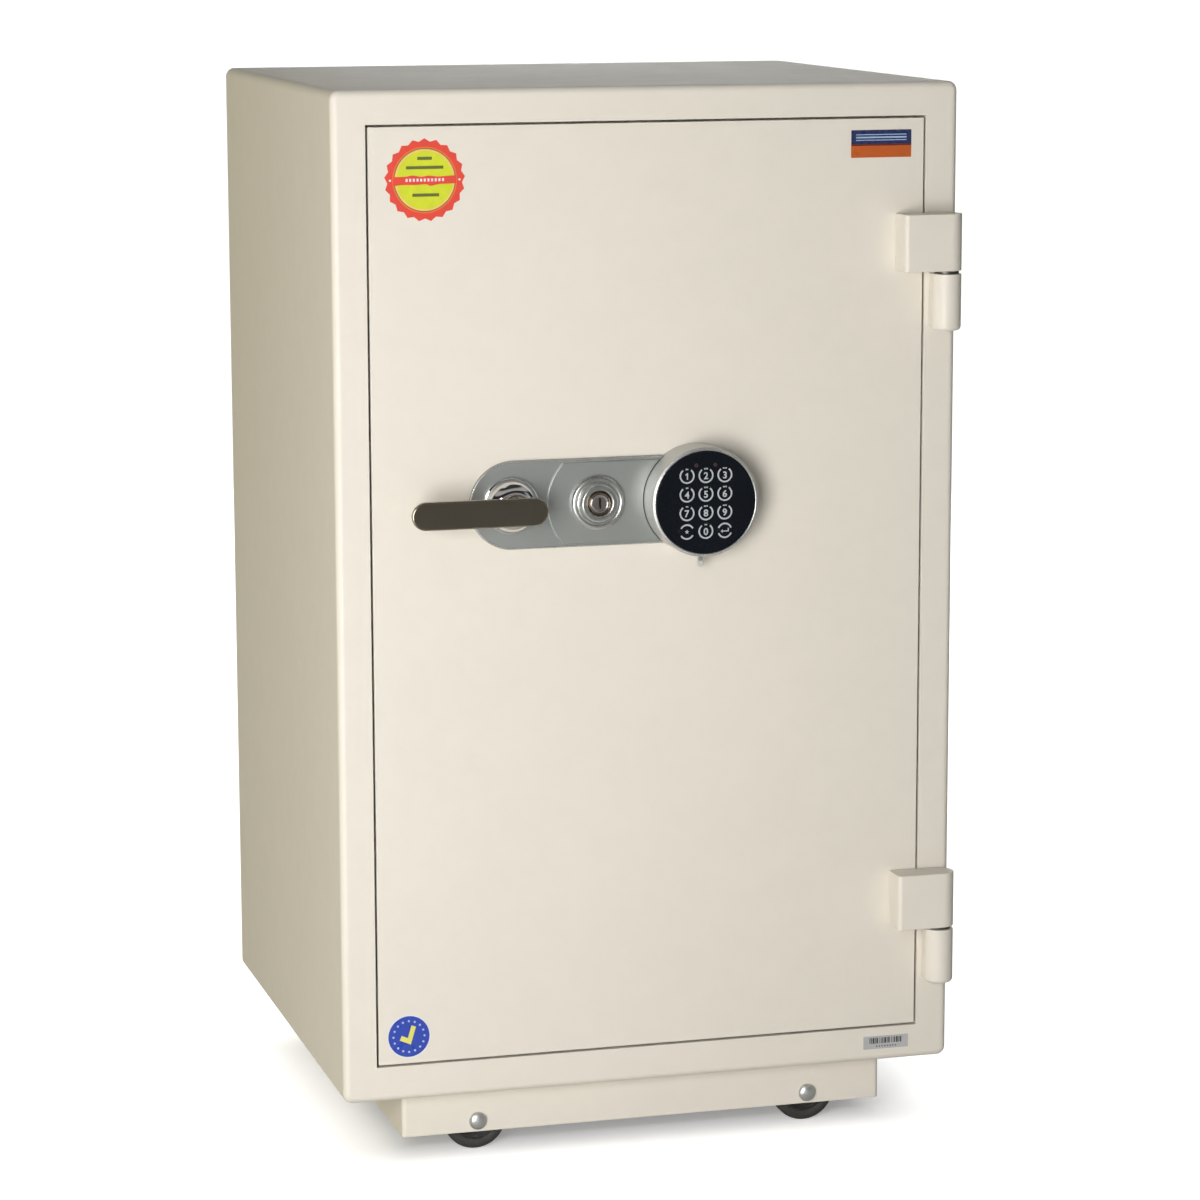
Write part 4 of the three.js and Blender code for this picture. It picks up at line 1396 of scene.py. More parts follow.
@dataclass
class Door:
    """The door leaf: painted pan, filling, rear tray with its cover, seal and fixed bolts."""

    sheet: float = 3 * MM
    corner: float = 0.8 * MM
    edge: float = 0.7 * MM
    return_inset: float = 5.6 * MM
    paint_build: float = 0.4 * MM
    spindle_hole: float = 6.5 * MM
    cable_hole: float = 5 * MM
    cable_rise: float = 38 * MM
    bolt_chamfer: float = 1.6 * MM
    cover_bead: float = 14 * MM
    screw: float = 4.2 * MM

    def build(self) -> None:
        """Builds every piece of the door except its lock."""
        self.pan()
        dress_nodes(FILLING, "door_filling")
        dress_nodes(LINING, "door_liner")
        self.cover()
        self.seal()
        for level in ("lower", "upper"):
            self.fixed_bolt(level)

    def pan(self) -> None:
        """The outer pan of the door, flat in front and folded back at its rim."""
        span = Span.of("door_skin")
        front, back = span.low.y, span.high.y

        def ring(inset: float, depth: float) -> list[Vector]:
            """An outline set in from the rim; the outer ones carry the paint's thickness."""
            own = inset - self.paint_build if inset < self.return_inset else inset
            return FRONT.ring(span.inset(own, max(self.corner - inset, 0.3 * MM), 5), depth)

        t, e = self.sheet, self.edge
        rings = [ring(inset, front + depth) for inset, depth in arc((e, e), e, 270, 180, 6)]
        rings.append(ring(0, front + t - 0.4 * MM))
        rings.append(ring(0.4 * MM, front + t))
        rings.append(ring(self.return_inset, front + t))
        rings.append(ring(self.return_inset, back))
        rings.append(ring(self.return_inset + t, back))
        rings.append(ring(self.return_inset + t, front + t))
        made = loft("door_pan", rings, Ends.CAPS)
        key = Span.of("key_cylinder").spot
        holes = [((self.spindle_line(), key[1]), self.spindle_hole), (key, LOCK_HOLE),
                 (self.cable_line(), self.cable_hole)]
        tools = [round_cutter(FRONT, spot, radius, front - t, front + 2 * t) for spot, radius in holes]
        apply_tools(made, tools, "DIFFERENCE")
        install(made, "door", IVORY, "door_skin")

    def spindle_line(self) -> float:
        """X of the line that the handle turns about."""
        return next(j for j in frame["joints"] if j["name"] == "handle_turn")["pos_m"][0]

    def cable_line(self) -> Point:
        """X and Z of the hole that the keypad's cable passes through."""
        face = Span.of("keypad_face").centre
        return (face.x, face.z + self.cable_rise)

    def cover(self) -> None:
        """The rear cover: a flat sheet with a pressed panel and eight screws."""
        span = Span.of("mechanism_cover")
        y0, y1 = span.low.y, span.high.y
        bead = self.cover_bead

        dip = 0.9 * MM
        profile = [(0.4 * MM, y0), (0.0, y0 + 0.4 * MM), (0.0, y1 - 0.4 * MM), (0.4 * MM, y1), (bead, y1),
                   (bead + 1.6 * MM, y1 - dip), (bead + 5 * MM, y1 - dip), (bead + 6.6 * MM, y1)]
        rings = [
            FRONT.ring(span.inset(inset, max(4 * MM - inset * 0.2, 1 * MM), 6), depth)
            for inset, depth in soften(profile, 0.5 * MM, closed=False)
        ]
        install(loft("rear_cover", rings, Ends.CAPS), "door", LINING, "mechanism_cover")
        inset = bead / 2
        xs = (span.low.x + inset, span.high.x - inset)
        zs = [span.low.z + inset + (span.high.z - span.low.z - 2 * inset) * k / 3 for k in range(4)]
        heads = [self.screw_head((x, z), y1) for x in xs for z in zs]
        install(merge("cover_screws", heads), "door", ZINC)

    def screw_head(self, spot: Point, seat: float) -> Piece:
        """A round screw head with a cross recess, on a face that looks to the back.

        Args:
            spot: X and Z of its middle.
            seat: Y of the face.

        Returns:
            The new object.
        """
        rise = 1.5 * MM
        dome = [(self.screw * math.cos(math.radians(a)), seat + rise * math.sin(math.radians(a)))
                for a in range(0, 90, 15)]
        profile = [(0.0, seat - 1 * MM), (self.screw, seat - 1 * MM)] + dome + [(0.0, seat + rise)]
        head = revolve("screw", profile, FRONT, spot, 32)
        arm, half = 2.1 * MM, 0.45 * MM
        x, z = spot
        slots = [
            prism("slot", block(x - a, x + a, z - b, z + b), FRONT,
                  seat + 0.5 * MM, seat + 3 * MM)
            for a, b in ((arm, half), (half, arm))
        ]
        apply_tools(head, slots, "DIFFERENCE")
        return head

    def seal(self) -> None:
        """The soft strip round the rear of the door, with three ribs."""
        span = Span.of("door_seal")
        width = 14 * MM
        y0, y1 = span.low.y, span.high.y
        ribs = 3
        crest = [(width * (k + 0.5 * (1 - math.cos(math.radians(a)))) / ribs,
                  y1 - 1.3 * MM * (1 - math.sin(math.radians(a))))
                 for k in range(ribs) for a in range(0, 180, 20)]
        section = [(0.0, y0)] + crest + [(width, y1 - 1.3 * MM), (width, y0)]
        rings = [FRONT.ring(span.inset(inset, max(16 * MM - inset, 1 * MM), 10), depth)
                 for inset, depth in section]
        install(loft("seal_strip", rings), "door", SEAL_RUBBER, "door_seal")

    def fixed_bolt(self, level: str) -> None:
        """A turned bolt on the hinge side, with a hexagon collar inside the tray.

        Args:
            level: Which of them, lower or upper.
        """
        node = f"dead_bolt_{level}"
        span = Span.of(node)
        bolt = Span.of("locking_bolt_lower").centre
        radius = 7 * MM
        centre = (bolt.y + 2 * MM, span.centre.z)
        tip, root = span.high.x, span.low.x
        c = self.bolt_chamfer
        profile = [(0.0, root), (radius - 0.5 * MM, root), (radius, root + 0.5 * MM), (radius, tip - c),
                   (radius - c, tip), (0.0, tip)]
        shank = revolve("shank", soften(profile, 0.3 * MM, closed=False), SIDE, centre, 48)
        seat = Span.of("mechanism_cover").high.x - 2.3 * MM
        nut = prism("nut", hexagon((centre[0], centre[1]), 9.2 * MM), SIDE, root + 6 * MM, seat,
                    0.6 * MM)
        install(merge(f"{level}_fixed_bolt", [shank, nut]), "door", STEEL, node)


@dataclass
class Boltwork:
    """The moving bolts in the door, and the parts that drive and block them."""

    chamfer: float = 2 * MM

    def build(self) -> None:
        """Builds the three bolts and finishes the rest of the mechanism."""
        for level in ("lower", "middle", "upper"):
            self.bolt(level)
        dress_nodes(STEEL, "bolt_bar", "handle_spindle", "electronic_lock_bolt")
        dress_nodes(BLACK_MOULD, "electronic_lock", "lock_cable")

    def bolt(self, level: str) -> None:
        """A turned bolt with a chamfered tip and a groove where the bar holds it.

        Args:
            level: Which bolt, lower, middle or upper.
        """
        node = f"locking_bolt_{level}"
        span = Span.of(node)
        centre = (span.centre.y, span.centre.z)
        r = span.radius
        tip, root = span.low.x, span.high.x
        profile = [(0.0, tip), (r - self.chamfer, tip), (r, tip + self.chamfer), (r, root - 3.2 * MM),
                   (r - 1.2 * MM, root - 3.2 * MM), (r - 1.2 * MM, root - 1.4 * MM), (r, root - 1.4 * MM),
                   (r, root), (0.0, root)]
        made = revolve(f"{level}_sliding_bolt", soften(profile, 0.35 * MM, closed=False), SIDE, centre,
                       64)
        install(made, "boltwork", ZINC, node)


# ---------------------------------------------------------------- lock furniture


@dataclass
class LockFurniture:
    """What the hand meets on the door: plate, lever with its rose, and key lock."""

    plate_radius: float = 38 * MM
    raised_rim: float = 3 * MM
    raised_arc: float = 50 * MM
    arc_offset: float = 6 * MM
    plate_edge: float = 1.3 * MM
    lever_thick: float = 4.8 * MM
    lever_edge: float = 1.3 * MM
    neck: float = 9.5 * MM
    keyhole_half: float = 1.1 * MM
    keyhole_reach: float = 5 * MM

    def build(self) -> None:
        """Builds the plate first, then what stands on it."""
        self.plate()
        self.rose()
        self.lever()
        self.bezel()
        self.cylinder()
        self.plug()

    def plate(self) -> None:
        """The long plate: a thin base and a thicker part with a round step at its left."""
        span = Span.of("escutcheon")
        z = span.centre.z
        r = self.plate_radius
        x0, x1 = span.low.x + r, span.high.x - r
        seat, front = span.high.y, span.low.y
        base_front = seat - 3 * MM
        base = prism("base", stadium(x0, x1, z, r, 48), FRONT, base_front, seat, self.plate_edge)
        key = Span.of("lock_bezel").centre
        middle = key.x + self.arc_offset
        inner = r - self.raised_rim
        reach = math.degrees(math.asin(inner / self.raised_arc))
        outline = arc((x1, z), inner, -90, 90, 48)
        outline += arc((middle, z), self.raised_arc, 180 - reach, 180 + reach, 40)
        raised = prism("raised", outline, FRONT, front, base_front + 0.5 * MM, 1.0 * MM)
        apply_tools(base, [raised], "UNION")
        base.name = "lock_plate"
        tools = [round_cutter(FRONT, (key.x, z), LOCK_HOLE, front - CLEAR, seat + CLEAR)]
        apply_tools(base, tools, "DIFFERENCE")
        install(base, "door", SILVER, "escutcheon")
        bead = prism("plate_bead", stadium(x0, x1, z, r - 0.5 * MM, 48), FRONT, base_front - 0.45 * MM,
                     base_front + 0.6 * MM, 0.35 * MM)
        inside = prism("inside", stadium(x0, x1, z, r - 1.5 * MM, 48), FRONT, front - CLEAR,
                       seat + CLEAR)
        pad = Span.of("keypad_housing").spot
        under_pad = round_cutter(FRONT, pad, 46.5 * MM, front - CLEAR, seat + CLEAR)
        apply_tools(bead, [inside, under_pad], "DIFFERENCE")
        install(bead, "door", SATIN_RING)

    def rose(self) -> None:
        """The chrome dome under the lever, with a flange, a groove and a collar."""
        span = Span.of("handle_rose")
        centre = span.spot
        seat, top = span.high.y, span.low.y
        r = span.radius
        bore = self.neck + 0.4 * MM
        dome_base = seat - 3.4 * MM
        dome_radius = r - 1.5 * MM
        rise = dome_base - top - 2 * MM
        dome = [(bore + 1.2 * MM + (dome_radius - bore - 1.2 * MM) * math.cos(math.radians(a)),
                 dome_base - rise * math.sin(math.radians(a))) for a in range(0, 91, 6)]
        profile = [(bore, seat), (r, seat)] + arc((r - 1 * MM, seat - 1.6 * MM), 1 * MM, 0, -90, 4)
        profile += [(dome_radius + 0.5 * MM, seat - 2.6 * MM), (dome_radius, seat - 2.9 * MM)] + dome
        profile += [(bore + 1.2 * MM, top + 0.4 * MM), (bore + 0.8 * MM, top), (bore, top)]
        install(revolve("lever_rose", profile, FRONT, centre, 120), "door", CHROME, "handle_rose")

    def lever(self) -> None:
        """The flat lever with round ends, on a neck that widens towards it."""
        span = Span.of("handle_lever")
        z = span.centre.z
        r = span.radius
        front, back = span.low.y, span.high.y
        bar = prism("bar", stadium(span.low.x + r, span.high.x - r, z, r, 48), FRONT, front,
                    front + self.lever_thick, self.lever_edge)
        axis = Span.of("handle_rose").centre.x
        n = self.neck
        under = front + self.lever_thick
        profile = [(0.0, under - 1 * MM), (n + 1.4 * MM, under - 1 * MM), (n + 1.4 * MM, under + 0.4 * MM)]
        profile += arc((n + 1.6 * MM, under + 2 * MM), 1.6 * MM, 270, 180, 5) + [(n, back - 0.4 * MM)]
        profile += [(n - 0.4 * MM, back), (6.3 * MM, back), (6.3 * MM, under + 2 * MM), (0.0, under + 2 * MM)]
        neck = revolve("neck", profile, FRONT, (axis, z), 72)
        install(neck, "handle", CHROME)
        neck.name = "lever_neck"
        bar.name = "lever_bar"
        install(bar, "handle", DARK_CHROME, "handle_lever")

    def bezel(self) -> None:
        """The stepped ring round the key lock."""
        span = Span.of("lock_bezel")
        centre = span.spot
        seat, top = span.high.y, span.low.y
        r = span.radius
        bore = 10.45 * MM
        profile = [
            (bore, seat), (r, seat), (r, seat - 2.6 * MM), (r - 1.6 * MM, seat - 4.2 * MM),
            (r - 3.4 * MM, seat - 4.6 * MM), (r - 4.0 * MM, seat - 4.0 * MM), (r - 5.4 * MM, seat - 4.0 * MM),
            (r - 6.2 * MM, seat - 5.2 * MM), (r - 7.6 * MM, top + 0.9 * MM), (r - 8.6 * MM, top),
            (bore + 1.4 * MM, top), (bore, top + 1.2 * MM),
        ]
        made = revolve("key_lock_ring", soften(profile, 0.5 * MM), FRONT, centre, 120)
        install(made, "door", LOCK_RING, "lock_bezel")

    def cylinder(self) -> None:
        """The fixed barrel round the plug, with a rounded rim."""
        span = Span.of("key_cylinder")
        centre = span.spot
        r = span.radius
        bore = 8.4 * MM
        front, back = span.low.y, span.high.y
        profile = [(bore, front + 0.4 * MM), (bore + 0.3 * MM, front), (bore + 0.7 * MM, front),
                   (r - 0.1 * MM, front + 2.6 * MM), (r, front + 3 * MM), (r, back), (bore, back)]
        made = revolve("lock_barrel", soften(profile, 0.15 * MM), FRONT, centre, 96)
        install(made, "door", DARK_CHROME, "key_cylinder")

    def plug(self) -> None:
        """The turning plug with its keyhole, and the tail and cam behind it."""
        span = Span.of("key_plug")
        barrel = Span.of("key_cylinder")
        x, z = barrel.spot
        front = span.low.y
        r, tail = 8.2 * MM, 4 * MM
        back = barrel.high.y
        cam_front, cam_back = span.high.y - 5 * MM, span.high.y
        profile = [(0.0, front + 0.5 * MM), (6.3 * MM, front + 0.5 * MM), (6.8 * MM, front),
                   (r - 0.5 * MM, front), (r, front + 0.5 * MM), (r, back), (tail, back),
                   (tail, cam_back - 0.5 * MM),
                   (tail - 0.5 * MM, cam_back), (0.0, cam_back)]
        made = revolve("turning_plug", soften(profile, 0.2 * MM, closed=False), FRONT, (x, z), 96)
        half, reach = self.keyhole_half, self.keyhole_reach
        slot = rounded_rect(x - half, x + half, z - reach, z + reach, half * 0.6, 4)
        key_way = prism("slot", slot, FRONT, front - CLEAR, front + 16 * MM)
        apply_tools(made, [key_way], "DIFFERENCE")
        cam_radius, half = 12.8 * MM, 5.5 * MM
        spread = math.degrees(math.asin(half / cam_radius))
        outline = arc((x, z), cam_radius, -spread, spread, 10) + arc((x, z), half, 90, 270, 16)
        cam = prism("cam", outline, FRONT, cam_front, cam_back, 0.4 * MM)
        apply_tools(made, [cam], "UNION")
        install(made, "plug", WARM_CHROME, "key_plug")


# ---------------------------------------------------------------- keypad


@dataclass(frozen=True)
class KeyFace:
    """What is printed on one key."""

    node: str
    mark: str
    dashes: int


KEY_FACES = [
    KeyFace("key_1", "1", 2), KeyFace("key_2", "2", 3), KeyFace("key_3", "3", 3),
    KeyFace("key_4", "4", 2), KeyFace("key_5", "5", 3), KeyFace("key_6", "6", 3),
    KeyFace("key_7", "7", 2), KeyFace("key_8", "8", 3), KeyFace("key_9", "9", 3),
    KeyFace("key_star", "star", 0), KeyFace("key_0", "0", 2), KeyFace("key_enter", "enter", 0),
]


@dataclass
class Keypad:
    """The round keypad: housing, gloss face, twelve keys, lamps, board and battery tray."""

    wall: float = 2.6 * MM
    print_thick: float = 0.06 * MM
    ring_outer: float = 6.65 * MM
    ring_stroke: float = 1.35 * MM
    numeral: float = 5.7 * MM
    lamp_spread: float = 8.4 * MM
    lamp_rise: float = 32 * MM
    lamp: float = 1.5 * MM
    plate_gap: float = 0.3 * MM

    def build(self) -> None:
        """Builds the keypad from its housing inwards."""
        self.housing()
        self.face()
        for key in KEY_FACES:
            self.key(key)
            self.key_print(key)
        self.lamps()
        dress_nodes(BOARD, "keypad_board")
        self.tray()
        dress_nodes(BLACK_MOULD, "battery")

    def centre(self) -> Point:
        """X and Z of the middle of the keypad."""
        return Span.of("keypad_face").spot

    def housing(self) -> None:
        """The round silver housing, cut to clear the plate and the tray, and its bright rim, with a dark ring
        at its foot that paints the contact shadow on the plate.
        """
        span = Span.of("keypad_housing")
        x, z = self.centre()
        radius = span.high.x - x
        back, front = span.high.y, span.low.y
        face = Span.of("keypad_face")
        disc = (face.high.x - face.low.x) / 2
        inner = radius - self.wall
        rim_seat = disc + 0.15 * MM
        crest = rim_seat + 1.3 * MM
        profile = [(inner, back), (radius, back), (radius, front + 2.4 * MM)]
        profile += arc((crest, front + 2.4 * MM), radius - crest, 0, -78, 8)[1:]
        profile += [(crest, front + 0.7 * MM), (crest - 0.1 * MM, front + 2.9 * MM),
                    (40 * MM, front + 2.9 * MM), (40 * MM, front + 5 * MM), (inner - 1 * MM, front + 5 * MM)]
        made = revolve("keypad_case", profile, FRONT, (x, z), 144)
        plate = Span.of("escutcheon")
        r = plate.radius
        slot = stadium(plate.low.x + r, plate.high.x - r, plate.centre.z, r + self.plate_gap, 40)
        under = prism("slot", slot, FRONT, plate.low.y - self.plate_gap, back + CLEAR)
        tray = Span.of("battery_tray")
        half = 16.6 * MM
        gap = 0.6 * MM
        low = prism("slot", block(x - half, x + half, z - 60 * MM, z - 20 * MM),
                    FRONT, tray.low.y - gap, tray.high.y + gap)
        apply_tools(made, [under, low], "DIFFERENCE")
        install(made, "door", BRIGHT_SILVER, "keypad_housing")
        # a near-black ring round the housing's foot, where it sits over the plate: a painted contact shadow
        lip = [(radius, plate.low.y - 0.35 * MM), (radius + 0.65 * MM, plate.low.y - 0.35 * MM),
               (radius + 0.65 * MM, plate.low.y + 0.1 * MM), (radius, plate.low.y + 0.1 * MM)]
        shadow_ring = revolve("keypad_shadow_ring", lip, FRONT, (x, z), 144)
        over_plate = prism("over",
                           stadium(plate.low.x + r, plate.high.x - r, plate.centre.z, r - 3.5 * MM, 40),
                           FRONT, plate.low.y - CLEAR, back)
        apply_tools(shadow_ring, [over_plate], "INTERSECT")
        install(shadow_ring, "door", BLACK_MOULD)
        half = (crest - rim_seat) / 2 - 0.04 * MM
        middle = (crest + rim_seat) / 2
        section = arc((middle, front + half), half, 180, 360, 8)
        section += [(middle + half, front + 2.8 * MM), (middle - half, front + 2.8 * MM)]
        install(revolve("keypad_rim", section, FRONT, (x, z), 144), "door", SATIN_RING)

    def face(self) -> None:
        """The gloss disc with a round edge and a hole for each key."""
        span = Span.of("keypad_face")
        x, z = self.centre()
        radius = (span.high.x - span.low.x) / 2
        front, back = span.low.y, span.high.y
        profile = [(0.0, front)] + arc((radius - 0.6 * MM, front + 0.6 * MM), 0.6 * MM, -90, 0, 5)
        profile += [(radius, back), (0.0, back)]
        made = revolve("keypad_disc", profile, FRONT, (x, z), 144)
        holes = []
        for key in KEY_FACES:
            spot = Span.of(key.node)
            hole = (spot.high.x - spot.low.x) / 2 + 0.25 * MM
            holes.append(round_cutter(FRONT, spot.spot, hole, front - MM, back + MM))
        apply_tools(made, holes, "DIFFERENCE")
        install(made, "door", BLACK_PANEL, "keypad_face")

    def key(self, key: KeyFace) -> None:
        """One round key with a slightly dished top and a soft edge.

        Args:
            key: The key.
        """
        span = Span.of(key.node)
        centre = span.spot
        r = (span.high.x - span.low.x) / 2
        front, back = span.low.y, span.high.y
        profile = [(0.0, front + 0.06 * MM), (r * 0.7, front + 0.05 * MM)]
        profile += arc((r - 0.35 * MM, front + 0.38 * MM), 0.35 * MM, -90, 0, 4) + [(r, back), (0.0, back)]
        install(revolve(f"{key.node}_cap", profile, FRONT, centre, 56), key.node, BLACK_PANEL, key.node)

    def key_print(self, key: KeyFace) -> None:
        """The pale ring and mark on one key.

        Args:
            key: The key.
        """
        span = Span.of(key.node)
        x, z = span.centre.x, span.centre.z
        seat = span.low.y + 0.09 * MM
        if key.mark == "star":
            marks = self.ring_parts((x, z), seat, [(30, 150), (210, 330)])
            marks.append(prism("star", pointed((x, z), 5, 2.0 * MM, 0.45), FRONT,
                               seat - self.print_thick, seat))
        elif key.mark == "enter":
            marks = self.ring_parts((x, z), seat, [(22, 158), (202, 338)])
            marks.append(prism("arrow", self.arrow((x, z)), FRONT, seat - self.print_thick, seat))
        else:
            marks = self.ring_parts((x, z), seat, [(-234, 54)])
            marks.append(self.numeral_mark(key.mark, (x, z - 0.3 * MM), seat - self.print_thick))
            marks += self.dash_row((x, z + self.ring_outer - 1.0 * MM), key.dashes, seat)
        install(merge(f"{key.node}_print", marks), key.node, KEY_PRINT)

    def numeral_mark(self, mark: str, centre: Point, front: float) -> Piece:
        """One numeral. The 1 is drawn with a flag, so that it isn't taken for a letter.

        Args:
            mark: The numeral.
            centre: X and Z of its middle.
            front: Y of its front.

        Returns:
            The new object.
        """
        if mark != "1":
            return lettering(mark, self.numeral, centre, front, self.print_thick)
        x, z, h, t = centre[0] + 0.3 * MM, centre[1], self.numeral / 2, 0.55 * MM
        outline = [(x - t, z - h), (x + t, z - h), (x + t, z + h), (x - t * 0.7, z + h),
                   (x - 1.7 * MM, z + h - 1.3 * MM), (x - 1.7 * MM, z + h - 2.3 * MM),
                   (x - t, z + h - 1.6 * MM)]
        return prism("numeral", outline, FRONT, front, front + self.print_thick)

    def ring_parts(self, centre: Point, seat: float, stretches: Sequence[Point]) -> list[Piece]:
        """Flat ring stretches, each between two angles in degrees.

        Args:
            centre: X and Z of the middle.
            seat: Y of the face under them.
            stretches: First and last angle of each.

        Returns:
            One piece for each stretch.
        """
        parts = []
        for start, end in stretches:
            steps = max(8, int(abs(end - start) / 6))
            outline = arc(centre, self.ring_outer, start, end, steps)
            outline += arc(centre, self.ring_outer - self.ring_stroke, end, start, steps)
            parts.append(prism("ring", outline, FRONT, seat - self.print_thick, seat))
        return parts

    def dash_row(self, centre: Point, count: int, seat: float) -> list[Piece]:
        """A short row of small upright dashes above a numeral.

        Args:
            centre: X and Z of the middle.
            count: Number of dashes.
            seat: Y of the face under them.

        Returns:
            One piece for each dash.
        """
        half, tall, pitch = 0.46 * MM, 0.60 * MM, 1.25 * MM
        row = []
        for k in range(count):
            x = centre[0] + (k - (count - 1) / 2) * pitch
            outline = block(x - half, x + half, centre[1] - tall, centre[1] + tall)
            row.append(prism("dash", outline, FRONT, seat - self.print_thick, seat))
        return row

    def arrow(self, centre: Point) -> list[Point]:
        """A hooked arrow to the left, the usual sign for confirming.

        Args:
            centre: X and Z of its middle.

        Returns:
            The outline.
        """
        x, z = centre
        t = 0.45 * MM
        left, right, head = x - 3.6 * MM, x + 3.6 * MM, 1.7 * MM
        return [(left, z - 0.6 * MM), (left + head, z - 0.6 * MM - head), (left + head, z - 0.6 * MM - t),
                (right, z - 0.6 * MM - t), (right, z + 2 * MM), (right - 2 * t, z + 2 * MM),
                (right - 2 * t, z - 0.6 * MM + t), (left + head, z - 0.6 * MM + t),
                (left + head, z - 0.6 * MM + head)]

    def lamps(self) -> None:
        """Two small signal lamps above the keys, each a lens in a ring."""
        x, z = self.centre()
        front = Span.of("keypad_face").low.y
        for side, name in ((-1, "left"), (1, "right")):
            spot = (x + side * self.lamp_spread, z + self.lamp_rise)
            r = self.lamp
            lens = [(0.0, front - 0.28 * MM), (r * 0.5, front - 0.22 * MM), (r * 0.85, front - 0.02 * MM),
                    (r * 0.85, front + 0.2 * MM), (0.0, front + 0.2 * MM)]
            install(revolve(f"{name}_lamp", lens, FRONT, spot, 32), "door", LAMP_LENS)
            band = [(r * 0.87, front + 0.1 * MM), (r * 0.87, front - 0.1 * MM), (r * 1.15, front - 0.1 * MM),
                    (r * 1.15, front + 0.1 * MM)]
            install(revolve(f"{name}_lamp_ring", band, FRONT, spot, 32), "door", BLACK_MOULD)

    def tray(self) -> None:
        """The battery tray that pulls out below, with a pale tip on its tab; the tip's pale colour is a
        painted highlight.
        """
        span = Span.of("battery_tray")
        x = span.centre.x
        half = (span.high.x - span.low.x) / 2
        _, z = self.centre()
        y0, y1 = span.low.y, span.high.y
        z0, z1 = z - 45 * MM, span.high.z
        t = 1.6 * MM
        box = prism("tray", rounded_rect(x - half, x + half, z0, z1, 1.2 * MM, 4), FRONT, y0, y1,
                    0.5 * MM)
        hollow = prism("hollow",
                       rounded_rect(x - half + t, x + half - t, z0 + t + 2 * MM, z1 - t, 0.8 * MM, 4),
                       FRONT, y0 + t, y1 + CLEAR)
        apply_tools(box, [hollow], "DIFFERENCE")
        box.name = "battery_drawer"
        install(box, "tray", BLACK_MOULD, "battery_tray")
        middle = (y0 + y1) / 2
        stem = prism("tab_stem",
                     rounded_rect(x - 2 * MM, x + 2 * MM, z0 - 8 * MM, z0 + 0.6 * MM, 0.5 * MM, 3),
                     FRONT, middle - 1.5 * MM, middle + 1.5 * MM, 0.4 * MM)
        install(stem, "tray", SILVER)
        low = span.low.z
        r = 3 * MM
        # the tab's tip is pale moulding whose light colour paints the highlight on its end
        tip = prism("tab_tip", arc((x, low + r), r, 0, 352, 44), FRONT, middle - 1.5 * MM,
                    middle + 1.5 * MM, 0.8 * MM)
        install(tip, "tray", PALE_HIGHLIGHT_MOULD)


# ---------------------------------------------------------------- stickers


